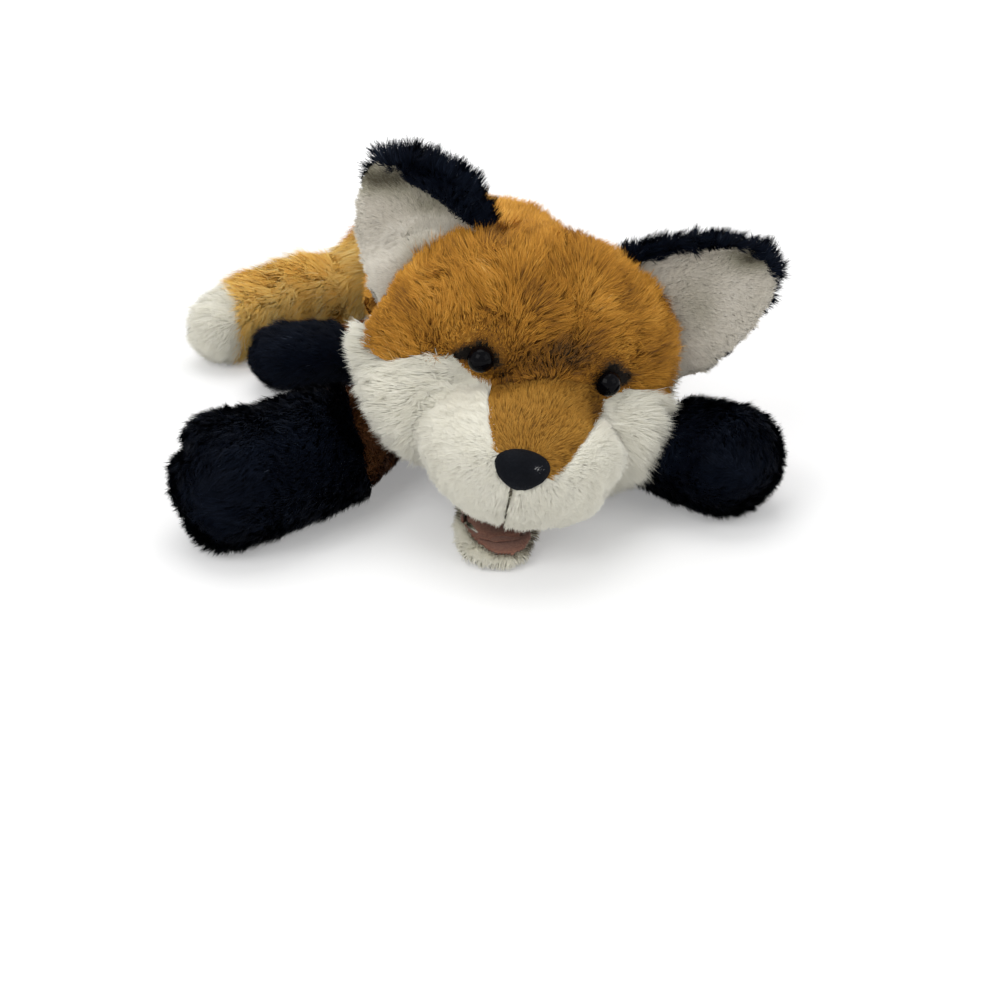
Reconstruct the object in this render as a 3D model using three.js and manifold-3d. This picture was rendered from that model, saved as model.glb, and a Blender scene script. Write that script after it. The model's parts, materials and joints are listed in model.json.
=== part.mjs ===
// Fox hand puppet in plush, lying on its belly with the head on the floor between the forelegs.
// Millimetres. +Z is up and the face looks along -Y. Right and left are the fox's own sides, so
// its right is on the -X side. A hand enters at the rump, passes the neck, and fills a finger
// pocket in the head and a thumb space in the jaw. Plush solids end at the middle of their pile.
import * as THREE from "three";
import { ConvexGeometry } from "three/addons/geometries/ConvexGeometry.js";
import { mergeVertices } from "three/addons/utils/BufferGeometryUtils.js";
import Module from "manifold-3d";

const wasm = await Module();
wasm.setup();

// Cloth and clearances
const SKIN = 5; // plush panel: backing and lower half of the pile
const LINING = 1.2; // woven lining of the hand space
const SEAM = 0.4; // between two sewn panels
const FIT = 0.4; // between a skin and what fills it
const SWING_FIT = 0.4; // round a ball that turns in its socket
const SOCKET_PAST = 0.15; // of a limb's second stretch, that its socket also clears
const SOLE = 0.6; // how far the floor presses a resting form flat

// A form is a list of stations along its route, [x, y, z, half width, half height], with a round
// cap at each end. A station of a form that rests on the floor is [x, y, half width, half height].

// Torso, from the neck to the rump
const TORSO_STATIONS = [
  [12, 168, 55, 44],
  [8, 195, 62, 49.5],
  [0, 225, 64, 51],
  [-5, 255, 63, 50],
  [-10, 282, 57, 45.5],
];
const TORSO_FRONT_CAP = 12;
const TORSO_REAR_CAP = 46; // cut short by the opening
const BELLY_SEAM_HEIGHT = 30;

// Hand space and its opening in the rump
const HAND_STATIONS = [
  [11, 186, 56, 37, 19],
  [1, 240, 45, 40, 19],
];
const OPENING_X = -12;
const OPENING_Y = 308;
const OPENING_HEIGHT = 35;
const OPENING_HALF_WIDTH = 40;
const OPENING_HALF_HEIGHT = 19;
const HEM_RADIUS = 3;
const HEM_SIDES = 6;
const SPACE_CAP = 10;

// Neck, a plush ball that the head and the torso cup
const NECK_RADIUS = 44;
const NECK_X = 13;
const NECK_Y = 138;
const NECK_HEIGHT = 64;
const NECK_HALF_LENGTH = 25;
const NECK_SPACE_HALF_WIDTH = 30;
const NECK_SPACE_HALF_HEIGHT = 18;
const NECK_TURN = 12; // degrees each way

// Head
const HEAD_X = 18;
const HEAD_Y = 86;
const HEAD_HEIGHT = 82;
const HEAD_ROLL = 12; // degrees, the crown leans to the fox's left
const HEAD_YAW = 12; // degrees, the eyes look to the fox's left
const SKULL_SHIFT = 2; // to the fox's right of the head's own middle
const SKULL_HALF_WIDTH = 84;
const SKULL_HALF_DEPTH = 46;
const SKULL_HALF_HEIGHT = 60;
const CHEEK_RADIUS = 31;
const CHEEK_SPACING = 92;
const CHEEK_DROP = 30;
const CHEEK_ADVANCE = 16;
const MUZZLE_Y = 24;
const MUZZLE_HEIGHT = 50;
const MUZZLE_HALF_WIDTH = 49;
const MUZZLE_HALF_LENGTH = 40;
const MUZZLE_HALF_HEIGHT = 31;
const BRIDGE_STATIONS = [
  [27, 52, 66, 24, 23],
  [21, 20, 63, 21, 18],
  [17, -3, 57, 14.5, 12],
];
const BRIDGE_CAP = 9;
const JOWL_STATIONS = [
  [18, 82, 62, 39, 27],
  [18, 24, 50, 39, 27],
];
const JOWL_CAP = 4;
const THROAT_HALF_WIDTH = 42;
const THROAT_HALF_LENGTH = 34;
const THROAT_HALF_HEIGHT = 26;

// Seams of the head. The brown of the crown ends along a line of points [across, up] from the
// middle of the head to its left side, and the right side mirrors it.
const CROWN_LINE = [
  [16, -3],
  [40, -8],
  [64, -17],
  [74, 8],
];
const MUZZLE_SEAM_ADVANCE = 47; // in front of the head's middle
const BROW_HALF_WIDTH = 24; // brown strip of the muzzle, at the brow
const BROW_X = 28;
const BROW_Y = 60;
const THROAT_MARGIN = 2;

// Face. An eye's place is [across, up] on the skull.
const RIGHT_EYE = [-29.5, 6];
const LEFT_EYE = [38, 0.5];
const EYE_RADIUS = 6.8;
const EYE_DOME = 7.3;
const EYE_SEAT = 1.5; // depth of the dome's back under the plush
const EYE_SHANK_RADIUS = 2;
const EYE_SHANK_LENGTH = 15;
const WASHER_RADIUS = 7.5;
const WASHER_THICKNESS = 1.2;
const NOSE_X = 17;
const NOSE_Y = -9;
const NOSE_HEIGHT = 59;
const NOSE_HALF_WIDTH = 13.5;
const NOSE_HALF_LENGTH = 9;
const NOSE_HALF_HEIGHT = 10.5;
const NOSE_FLARE = 0.25; // the nose is wider above than below

// Jaw and mouth. The jaw's stations are in its own frame, with the hinge line at its origin.
const JAW_X = 13;
const JAW_Y = 62;
const JAW_YAW = -8; // degrees, the chin points to the fox's right
const JAW_HINGE_RADIUS = 8.6;
const JAW_HALF_WIDTH = 25.5;
const JAW_STATIONS = [
  [0, 20, 0, JAW_HALF_WIDTH, JAW_HINGE_RADIUS],
  [0, -10, -0.2, JAW_HALF_WIDTH, JAW_HINGE_RADIUS],
  [0, -36, -1.2, 24.5, 7.6],
  [0, -50, -2.4, 20.5, 6.2],
];
const JAW_CAP = 16;
const JAW_SKIN = 4;
const MOUTH_SLOPE = 5; // degrees, of the roof of the mouth
const MOUTH_FLOOR_HEIGHT = 6.2; // over the hinge line
const MOUTH_FLOOR_SLOPE = 4.5; // degrees
const MOUTH_LINING = 1.6;
const MOUTH_LINING_INSET = 0.8;
const MOUTH_SIDE_GAP = 2.4;

// Finger pocket in the head, and the thumb space that leads from it to the jaw
const FINGER_STATIONS = [
  [13, 110, 62, 29, 14],
  [14, 78, 57, 29, 13],
  [15, 42, 49, 27, 12],
];
const FINGER_CAP = 16;
const THUMB_TOP = [13, 102, 42];
const THUMB_RADIUS = 8.5;
const THUMB_TIP = [13, 70.6, 13.6];
const THUMB_TIP_RADIUS = 7;
const THUMB_DOOR_MARGIN = 7; // from the jaw's side to the way in for the thumb
const THUMB_DOOR_SILL = -3; // from the hinge line
const THUMB_DOOR_FRONT = 2;
const FILLING_SPLIT = 54; // height at which the crown's filling lies on that of the cheeks

// Ears. Each stands in a frame on the skull, whose middle is [x, y, z] from the head's.
const EAR_HALF_WIDTH = 34;
const EAR_LEVELS = [0.04, 0.26, 0.48, 0.68, 0.84, 0.94]; // of the sections, as shares of the height
const EAR_FLARE = 0.2;
const EAR_FULLNESS = 2.8; // the power that keeps the outline wide before it closes at the tip
const EAR_CLOSING = 0.7;
const EAR_CUP = 13;
const EAR_CUP_FADE = 0.5; // share of the cup lost at the tip
const EAR_BACK_THICKNESS = 6.5;
const EAR_LINING_THICKNESS = 4;
const EAR_LINING_INSET = 5.4;
const EAR_FOOT = 8; // length of the ear below the line through its two corners
const EAR_SEAM_DEPTH = 4; // of the ear's foot in the crown
const EAR_HINGE = 8; // height of the fold over the line through the corners
const EAR_FOLD = 24; // degrees each way
const EAR_FOLD_PAST = 2; // degrees past the fold that the ear's room in the crown also clears
const EAR_ROOM_HEIGHT = 1.5; // over the skull, of the part of an ear that its room is made for
const EAR_ROOM_OVERLAP = 0.75; // half width of each third of the room, as a share of their spacing
const EAR_LINING_END = 1.5; // the lining's sections end at this many insets from the middle
const RIGHT_EAR = { x: -46, y: 12, z: 27, height: 66, lean: -32, turn: -24 };
const LEFT_EAR = { x: 65, y: 6, z: 27, height: 68, lean: 58, turn: -12 };

// Limbs: a ball at [x, y, z] in its socket, then the stations, and how far the limb may swing
// away from where it lies. A sleeve is the brown stretch along the leg.
const LIMB_SKIN = 5;
const MOUTH_SHARE = 0.6; // of the ball, the hole in the skin behind it
const SHOULDER_RADIUS = 20;
const RIGHT_SHOULDER = [-40, 172, 24];
const RIGHT_FORELEG = [
  [-56, 120, 24, 24],
  [-73, 80, 29, 29],
  [-95, 57, 34, 31.5],
  [-122, 36, 38, 33],
];
const RIGHT_FORELEG_CAP = 34;
const LEFT_SHOULDER = [62, 172, 24];
const LEFT_FORELEG = [
  [76, 130, 22, 20],
  [88, 100, 26, 22],
  [105, 80, 31, 27],
  [125, 63, 33, 29],
];
const LEFT_FORELEG_CAP = 25;
const FORELEG_SWING = 25; // degrees
const FORELEG_SLEEVE = { right: 96, left: 80 };
const HIP_RADIUS = 17;
const RIGHT_HIP = [-57, 240, 22];
const RIGHT_HINDLEG = [
  [-82, 226, 22, 19],
  [-118, 219, 23, 20],
];
const LEFT_HIP = [55, 240, 22];
const LEFT_HINDLEG = [
  [66, 252, 22, 19],
  [88, 262, 22, 20],
];
const HINDLEG_CAP = 21;
const HINDLEG_SWING = 15; // degrees
const HINDLEG_SLEEVE = 28;

// Tail, from its ball over the opening down to the floor
const TAIL_ROOT_RADIUS = 13;
const TAIL_ROOT = [-12, 292, 83];
const TAIL_DESCENT = [
  [-36, 322, 71, 15, 15],
  [-62, 334, 49, 19, 19],
];
const TAIL_STATIONS = [
  [-88, 327, 24, 24],
  [-116, 305, 25, 25],
  [-142, 279, 25, 25],
  [-159, 256, 23, 23],
];
const TAIL_CAP = 20;
const TAIL_SWING = 40; // degrees
const TAIL_BRUSH = 190; // orange part along the tail

const UP = new THREE.Vector3(0, 0, 1);
const FAR = 600; // beyond every side of the puppet
const NEAR = 66; // beyond every side of an eye or a limb's section
const OUTER_SIDES = 12; // of an oval section, outside and inside a skin
const INNER_SIDES = 8;
const RING_FACETS = 18; // along the hem, and round the jaw's hinge
const HINGE_STEP = 20; // degrees between the facets of the room round the jaw's hinge
const OUTER_FACETS = 3; // of a rounded form, outside and inside a skin
const INNER_FACETS = 2;
const COARSE_FACETS = 1;
const CAP_ANGLES = [0.55, 1.1]; // of the rings of a round cap
const NEAREST = [1, 0.934, 0.968]; // how near a room's facets come against its corners, by facets
const FLAT = Math.cos(Math.PI / INNER_SIDES); // the same for the sides of a section

const neckCentre = point(NECK_X, NECK_Y, NECK_HEIGHT);
const headFrame = frame(HEAD_X, HEAD_Y, HEAD_HEIGHT, HEAD_YAW, HEAD_ROLL);
const muzzleFrame = frame(HEAD_X, MUZZLE_Y, MUZZLE_HEIGHT, 0, HEAD_ROLL);
const jawFrame = frame(JAW_X, JAW_Y, JAW_HINGE_RADIUS, JAW_YAW, 0);

function point(x, y, z) {
  return new THREE.Vector3(x, y, z);
}

// A place turned about the vertical, then rolled about its own front-to-back line
function frame(x, y, z, yaw, roll) {
  const turn = new THREE.Matrix4().makeRotationZ(THREE.MathUtils.degToRad(yaw));
  const lean = new THREE.Matrix4().makeRotationY(THREE.MathUtils.degToRad(roll));
  return new THREE.Matrix4().makeTranslation(x, y, z).multiply(turn).multiply(lean);
}

// A geometry as a solid that can be joined and cut
function solid(geometry, place) {
  const bare = new THREE.BufferGeometry();
  bare.setAttribute("position", geometry.getAttribute("position").clone());
  bare.setIndex(geometry.index);
  if (place) bare.applyMatrix4(place);
  const merged = mergeVertices(bare, 1e-3);
  return new wasm.Manifold(
    new wasm.Mesh({
      numProp: 3,
      vertProperties: merged.getAttribute("position").array,
      triVerts: new Uint32Array(merged.index.array),
    }),
  );
}

// The vertices of a solid
function corners(made) {
  const mesh = made.getMesh();
  const points = [];
  for (let i = 0; i < mesh.numVert; i += 1) {
    const at = i * mesh.numProp;
    points.push(point(...mesh.vertProperties.subarray(at, at + 3)));
  }
  return points;
}

function geometryOf(made) {
  const data = made.getMesh();
  const positions = new Float32Array(data.numVert * 3);
  for (let i = 0; i < data.numVert; i += 1) {
    const at = i * data.numProp;
    positions.set(data.vertProperties.subarray(at, at + 3), i * 3);
  }
  const geometry = new THREE.BufferGeometry();
  geometry.setAttribute("position", new THREE.BufferAttribute(positions, 3));
  geometry.setIndex(new THREE.BufferAttribute(data.triVerts, 1));
  return geometry;
}

// A cut can leave slivers beside the piece, or hanging on by a corner, and the piece is the
// largest body. Corners closer than the merging distance become one before the second look.
function largest(made) {
  const biggest = (bodies) => bodies.sort((a, b) => b.volume() - a.volume())[0];
  const piece = biggest(made.decompose());
  return biggest(solid(geometryOf(piece)).decompose());
}

function join(solids) {
  return solids.reduce((sum, next) => sum.add(next));
}

function box(low, high, place) {
  const size = high.clone().sub(low);
  const geometry = new THREE.BoxGeometry(size.x, size.y, size.z);
  geometry.translate(...low.clone().add(high).multiplyScalar(0.5));
  return solid(geometry, place);
}

function ellipsoid(centre, halfSizes, place = new THREE.Matrix4(), detail = INNER_FACETS) {
  const geometry = new THREE.IcosahedronGeometry(1, detail);
  geometry.scale(...halfSizes).translate(...centre);
  return solid(geometry, place);
}

function ball(centre, radius, detail = INNER_FACETS) {
  return ellipsoid(centre, [radius, radius, radius], undefined, detail);
}

// A faceted room that clears a ball of this radius, with its facets turned to the ball's corners
function roundRoom(centre, radius, detail = COARSE_FACETS) {
  const reach = (radius + SWING_FIT) / NEAREST[detail];
  const place = new THREE.Matrix4().makeTranslation(centre);
  place.multiply(new THREE.Matrix4().makeRotationZ(Math.PI / 2));
  return ellipsoid(point(0, 0, 0), [reach, reach, reach], place, detail);
}

// Everything above a height
function above(height) {
  return box(point(-FAR, -FAR, height), point(FAR, FAR, FAR));
}

// Everything behind a distance along Y
function behind(y) {
  return box(point(-FAR, y, -FAR), point(FAR, FAR, FAR));
}

// An outline of points [x, y] raised from one height to another
function prism(outline, low, high, place) {
  const shape = new THREE.Shape(outline.map(([x, y]) => new THREE.Vector2(x, y)));
  const geometry = new THREE.ExtrudeGeometry(shape, { depth: high - low, bevelEnabled: false });
  geometry.translate(0, 0, low);
  return solid(geometry, place);
}

// A skin of rings with a pole at each end
function closedRings(rings, firstPole, lastPole) {
  const count = rings[0].length;
  const positions = [firstPole, ...rings.flat(), lastPole].flatMap((p) => [p.x, p.y, p.z]);
  const last = 1 + rings.length * count;
  const faces = [];
  for (let k = 0; k < count; k += 1) {
    const next = (k + 1) % count;
    faces.push(0, 1 + k, 1 + next);
    for (let i = 0; i + 1 < rings.length; i += 1) {
      const here = 1 + i * count;
      const there = here + count;
      faces.push(here + k, there + k, here + next);
      faces.push(here + next, there + k, there + next);
    }
    faces.push(last, last - count + next, last - count + k);
  }
  const geometry = new THREE.BufferGeometry();
  geometry.setAttribute("position", new THREE.Float32BufferAttribute(positions, 3));
  geometry.setIndex(faces);
  return solid(geometry);
}

// A stuffed form: oval sections at its stations, closed by a round cap at each end
function pod(stations, startCap, endCap, grow = 0, sides = 0) {
  const count = sides || (grow < 0 ? INNER_SIDES : OUTER_SIDES);
  const places = stations.map(([x, y, z]) => point(x, y, z));
  const rings = [];
  const ring = (i, along, scale) => {
    const tangent = places[Math.min(i + 1, places.length - 1)].clone();
    tangent.sub(places[Math.max(i - 1, 0)]).normalize();
    const side = tangent.clone().cross(UP).normalize();
    const up = side.clone().cross(tangent);
    const [, , , wide, high] = stations[i];
    const centre = places[i].clone().addScaledVector(tangent, along);
    if (scale === 0) return centre;
    const points = [];
    for (let k = 0; k < count; k += 1) {
      const angle = (2 * Math.PI * k) / count;
      points.push(
        centre
          .clone()
          .addScaledVector(side, (wide + grow) * scale * Math.cos(angle))
          .addScaledVector(up, (high + grow) * scale * Math.sin(angle)),
      );
    }
    return points;
  };
  const lastStation = stations.length - 1;
  for (const angle of CAP_ANGLES.toReversed()) {
    rings.push(ring(0, -(startCap + grow) * Math.sin(angle), Math.cos(angle)));
  }
  stations.forEach((_, i) => rings.push(ring(i, 0, 1)));
  for (const angle of CAP_ANGLES) {
    rings.push(ring(lastStation, (endCap + grow) * Math.sin(angle), Math.cos(angle)));
  }
  return closedRings(rings, ring(0, -startCap - grow, 0), ring(lastStation, endCap + grow, 0));
}

// A solid turned about a line
function turned(made, pivot, axis, degrees) {
  const matrix = new THREE.Matrix4()
    .makeTranslation(pivot)
    .multiply(new THREE.Matrix4().makeRotationAxis(axis, THREE.MathUtils.degToRad(degrees)))
    .multiply(new THREE.Matrix4().makeTranslation(pivot.clone().negate()));
  return made.transform(matrix.elements);
}

// The convex room that a solid needs while it turns about a line
function turningRoom(made, pivot, axis, angles) {
  const points = angles.flatMap((angle) => corners(turned(made, pivot, axis, angle)));
  return solid(new ConvexGeometry(points));
}

// The part of a solid past a distance along a route, and the part before it
function splitAlong(made, stations, distance) {
  const places = stations.map(([x, y, z]) => point(x, y, z));
  const route = new THREE.CatmullRomCurve3(places, false, "centripetal");
  const share = distance / route.getLength();
  const seam = route.getPointAt(share);
  const tangent = route.getTangentAt(share);
  const turn = new THREE.Quaternion().setFromUnitVectors(UP, tangent);
  const place = new THREE.Matrix4().compose(seam, turn, point(1, 1, 1));
  const past = (from) => box(point(-NEAR, -NEAR, from), point(NEAR, NEAR, FAR), place);
  const first = largest(made.subtract(past(-SEAM / 2)));
  const rest = largest(made.intersect(past(SEAM / 2)));
  return [first, rest];
}

// The rounded forms that make up the head, without the jaw
function headParts(grow) {
  const facets = grow < 0 ? COARSE_FACETS : INNER_FACETS;
  const throatSize = [THROAT_HALF_WIDTH, THROAT_HALF_LENGTH, THROAT_HALF_HEIGHT];
  const throatMiddle = point(HEAD_X, HEAD_Y, THROAT_HALF_HEIGHT - SOLE);
  const parts = [
    skullForm(grow),
    muzzleForm(grow),
    pod(BRIDGE_STATIONS, BRIDGE_CAP, BRIDGE_CAP, grow),
    pod(JOWL_STATIONS, JOWL_CAP, JOWL_CAP, grow),
    ellipsoid(throatMiddle, throatSize.map((size) => size + grow), undefined, facets),
  ];
  for (const side of [-1, 1]) {
    const centre = point((side * CHEEK_SPACING) / 2 - SKULL_SHIFT, -CHEEK_ADVANCE, -CHEEK_DROP);
    parts.push(ball(centre.applyMatrix4(headFrame), CHEEK_RADIUS + grow, facets));
  }
  return parts;
}

function headForm(grow) {
  return join(headParts(grow)).intersect(above(-Math.min(grow, 0)));
}

function skullForm(grow) {
  const size = [SKULL_HALF_WIDTH, SKULL_HALF_DEPTH, SKULL_HALF_HEIGHT].map((half) => half + grow);
  const facets = grow < 0 ? INNER_FACETS : OUTER_FACETS;
  return ellipsoid(point(-SKULL_SHIFT, 0, 0), size, headFrame, facets);
}

function muzzleForm(grow) {
  const size = [MUZZLE_HALF_WIDTH, MUZZLE_HALF_LENGTH, MUZZLE_HALF_HEIGHT];
  const facets = grow < 0 ? COARSE_FACETS : OUTER_FACETS;
  return ellipsoid(point(0, 0, 0), size.map((half) => half + grow), muzzleFrame, facets);
}

// An outline in the head's own width and height, raised along its depth
function faceOn(outline) {
  const upright = new THREE.Matrix4().makeRotationX(Math.PI / 2);
  return prism(outline, -FAR, FAR, headFrame.clone().multiply(upright));
}

// Above the line where the brown of the crown meets the white of the cheeks
function crownRegion(offset) {
  const left = [...CROWN_LINE, [FAR, CROWN_LINE.at(-1)[1]]];
  const line = [...left.map(([x, z]) => [-x, z]).reverse(), ...left];
  return faceOn([...line.map(([x, z]) => [x, z + offset]), [FAR, FAR], [-FAR, FAR]]);
}

// In front of the seam between the muzzle and the rest of the head
function muzzleRegion(offset) {
  const seam = -MUZZLE_SEAM_ADVANCE - offset;
  return box(point(-FAR, -FAR, -FAR), point(FAR, seam, FAR), headFrame);
}

// The brown strip from between the eyes to the nose, seen from above
function muzzleTopRegion(offset) {
  const front = NOSE_Y - 2 * NOSE_HALF_LENGTH;
  const outline = [
    [NOSE_X - NOSE_HALF_WIDTH - offset, front],
    [NOSE_X + NOSE_HALF_WIDTH + offset, front],
    [BROW_X + BROW_HALF_WIDTH + offset, BROW_Y],
    [BROW_X - BROW_HALF_WIDTH - offset, BROW_Y],
  ];
  return prism(outline, NOSE_HEIGHT - NOSE_HALF_HEIGHT / 2 - offset, FAR);
}

// The middle of the face divides right from left
function leftHalf(offset, place) {
  return box(point(offset, -FAR, -FAR), point(FAR, FAR, FAR), place);
}

// The throat's own form and a little more, up to where it runs into the head
function throatRegion(offset) {
  const margin = THROAT_MARGIN + offset;
  const size = [THROAT_HALF_WIDTH, THROAT_HALF_LENGTH, THROAT_HALF_HEIGHT];
  const middle = point(HEAD_X, HEAD_Y, THROAT_HALF_HEIGHT - SOLE);
  const rim = THROAT_HALF_HEIGHT - 2 * THROAT_MARGIN + offset;
  return ellipsoid(middle, size.map((half) => half + margin)).subtract(above(rim));
}

// A profile of points [distance behind the hinge, height over it], as wide as the jaw or more
function besideJaw(profile, halfWidth) {
  const sideways = new THREE.Matrix4().makeBasis(point(0, 1, 0), UP, point(1, 0, 0));
  return prism(profile, -halfWidth, halfWidth, jawFrame.clone().multiply(sideways));
}

// The room in which the jaw turns, up to a height over the roof of the mouth
function mouthRoom(raise) {
  const radius = JAW_HINGE_RADIUS + SWING_FIT;
  const climb = NEAR * 2 * Math.tan(THREE.MathUtils.degToRad(MOUTH_SLOPE));
  const below = [[-NEAR * 2, radius + climb + raise], [-NEAR * 2, -NEAR], [0, -NEAR]];
  const hinge = [];
  for (let angle = -90; angle <= 90; angle += HINGE_STEP) {
    const turn = THREE.MathUtils.degToRad(angle);
    hinge.push([radius * Math.cos(turn), radius * Math.sin(turn)]);
  }
  const roof = raise > 0 ? [[radius / 2, radius + raise]] : [];
  return besideJaw([...below, ...hinge, ...roof], JAW_HALF_WIDTH + MOUTH_SIDE_GAP);
}

// The room that the turning head needs among the forelegs
function headSweep(grow) {
  const angles = [-1, -0.5, 0, 0.5, 1].map((share) => share * NECK_TURN);
  return join(headParts(grow).map((part) => turningRoom(part, neckCentre, UP, angles)));
}

// The sweep beside a leg's skin, beside the inside of that skin, and beside the stuffing
const sweeps = new Map(
  [0, LIMB_SKIN, LIMB_SKIN + FIT].map((depth) => [-depth, headSweep(SWING_FIT + depth)]),
);

// The stations of a form that rests on the floor
function resting(places) {
  return places.map(([x, y, wide, high]) => [x, y, high - SOLE, wide, high]);
}

function limb(root, radius, places, cap, angles) {
  return { route: [[...root, radius, radius], ...places], cap, angles };
}

const forelegs = {
  right: limb(RIGHT_SHOULDER, SHOULDER_RADIUS, resting(RIGHT_FORELEG), RIGHT_FORELEG_CAP, [
    0,
    -FORELEG_SWING / 2,
    -FORELEG_SWING,
  ]),
  left: limb(LEFT_SHOULDER, SHOULDER_RADIUS, resting(LEFT_FORELEG), LEFT_FORELEG_CAP, [
    0,
    FORELEG_SWING / 2,
    FORELEG_SWING,
  ]),
};
const hindlegs = {
  right: limb(RIGHT_HIP, HIP_RADIUS, resting(RIGHT_HINDLEG), HINDLEG_CAP, [
    0,
    HINDLEG_SWING / 2,
    HINDLEG_SWING,
  ]),
  left: limb(LEFT_HIP, HIP_RADIUS, resting(LEFT_HINDLEG), HINDLEG_CAP, [
    HINDLEG_SWING,
    0,
    -HINDLEG_SWING,
  ]),
};
const tailStations = [...TAIL_DESCENT, ...resting(TAIL_STATIONS)];
const tail = limb(TAIL_ROOT, TAIL_ROOT_RADIUS, tailStations, TAIL_CAP, [
  0,
  -TAIL_SWING / 2,
  -TAIL_SWING,
]);

// The room in the torso for a limb's ball and first stretch as it swings
function socket({ route, angles }) {
  const pivot = point(...route[0].slice(0, 3));
  const points = corners(roundRoom(pivot, route[0][3]));
  const end = point(...route[1].slice(0, 3));
  const along = end.clone().sub(pivot).normalize();
  const side = along.clone().cross(UP).normalize();
  const up = side.clone().cross(along);
  const wide = THREE.MathUtils.lerp(route[1][3], route[2][3], SOCKET_PAST);
  const high = THREE.MathUtils.lerp(route[1][4], route[2][4], SOCKET_PAST);
  end.lerp(point(...route[2].slice(0, 3)), SOCKET_PAST);
  for (const angle of angles) {
    for (let k = 0; k < INNER_SIDES; k += 1) {
      const around = (2 * Math.PI * (k + 0.5)) / INNER_SIDES;
      const rim = end.clone();
      rim.addScaledVector(side, ((wide + SWING_FIT) / FLAT) * Math.cos(around));
      rim.addScaledVector(up, ((high + SWING_FIT) / FLAT) * Math.sin(around));
      rim.sub(pivot).applyAxisAngle(UP, THREE.MathUtils.degToRad(angle)).add(pivot);
      points.push(rim);
    }
  }
  return solid(new ConvexGeometry(points));
}

const sockets = join(
  [forelegs.right, forelegs.left, hindlegs.right, hindlegs.left, tail].map(socket),
);

function mesh(name, made, material) {
  const geometry = geometryOf(made);
  geometry.computeVertexNormals();
  const shown = new THREE.Mesh(geometry, material);
  shown.name = name;
  return shown;
}

const plush = (color) => new THREE.MeshStandardMaterial({ color, roughness: 0.95, metalness: 0 });
const rust = plush(0xb5722c);
const tailGold = plush(0xc98c45);
const auburn = plush(0x6f4126);
const white = plush(0xe2dfda);
const black = plush(0x11131a);
const earGrey = plush(0xb4b0ac);
const muzzleBrown = plush(0xa8662a);
const suede = new THREE.MeshStandardMaterial({ color: 0x8a5c50, roughness: 0.9, metalness: 0 });
const velvet = new THREE.MeshStandardMaterial({ color: 0x14141a, roughness: 0.8, metalness: 0 });
const gloss = new THREE.MeshStandardMaterial({ color: 0x0a0a0c, roughness: 0.12, metalness: 0 });
const nylon = new THREE.MeshStandardMaterial({ color: 0xd8d8d4, roughness: 0.5, metalness: 0 });
const fibre = new THREE.MeshStandardMaterial({ color: 0xf0efec, roughness: 1, metalness: 0 });
const cotton = new THREE.MeshStandardMaterial({ color: 0x6a5a4a, roughness: 0.95, metalness: 0 });

// Skin and stuffing of a limb, from its form at a growth. The skin is open behind its ball.
function stuffed(form, route) {
  const root = point(...route[0].slice(0, 3));
  const radius = route[0][3];
  const away = point(...route[1].slice(0, 3)).sub(root).setLength(radius);
  const mouth = ball(root.clone().sub(away), radius * MOUTH_SHARE);
  return {
    skin: largest(form(0).subtract(form(-LIMB_SKIN)).subtract(mouth)),
    filling: largest(form(-LIMB_SKIN - FIT)),
  };
}

// A limb's nodes, named and coloured: [near skin, far skin, stuffing]
function limbPieces({ route, cap }, seam, names, materials, clear = () => []) {
  const form = (grow) => {
    const whole = pod(route, route[0][3], cap, grow).intersect(above(-grow));
    return clear(grow).reduce((made, room) => made.subtract(room), whole);
  };
  const { skin, filling } = stuffed(form, route);
  const group = new THREE.Group();
  [...splitAlong(skin, route, seam), filling].forEach((piece, i) => {
    group.add(mesh(names[i], piece, materials[i]));
  });
  return group;
}

function foreleg(side) {
  const names = [`${side}_foreleg_sleeve`, `${side}_forepaw`, `${side}_foreleg_stuffing`];
  const clear = (grow) => [sweeps.get(grow)];
  return limbPieces(forelegs[side], FORELEG_SLEEVE[side], names, [auburn, black, fibre], clear);
}

function hindleg(side) {
  const names = [`${side}_thigh_sleeve`, `${side}_hind_paw`, `${side}_hindleg_stuffing`];
  return limbPieces(hindlegs[side], HINDLEG_SLEEVE, names, [rust, black, fibre]);
}

function tailPieces() {
  const names = ["tail_brush", "tail_tip", "tail_stuffing"];
  return limbPieces(tail, TAIL_BRUSH, names, [tailGold, white, fibre]);
}

// The space for the hand between the rump and the neck
function handSpace(grow) {
  const route = [
    [NECK_X, NECK_Y, NECK_HEIGHT, NECK_SPACE_HALF_WIDTH, NECK_SPACE_HALF_HEIGHT],
    ...HAND_STATIONS,
    [OPENING_X, OPENING_Y, OPENING_HEIGHT, OPENING_HALF_WIDTH, OPENING_HALF_HEIGHT],
    [OPENING_X, OPENING_Y + NEAR, OPENING_HEIGHT, OPENING_HALF_WIDTH, OPENING_HALF_HEIGHT],
  ];
  return pod(route, SPACE_CAP, SPACE_CAP, grow);
}

// A round bead along an oval that stands upright
function hoop(centre, halfWidth, halfHeight, radius) {
  const geometry = new THREE.TorusGeometry(halfWidth, radius, HEM_SIDES, RING_FACETS);
  const at = geometry.getAttribute("position");
  for (let i = 0; i < at.count; i += 1) {
    const around = Math.atan2(at.getY(i), at.getX(i));
    const out = Math.hypot(at.getX(i), at.getY(i)) - halfWidth;
    const x = centre.x + (halfWidth + out) * Math.cos(around);
    const z = centre.z + (halfHeight + out) * Math.sin(around);
    at.setXYZ(i, x, centre.y - at.getZ(i), z);
  }
  return solid(geometry);
}

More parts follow.
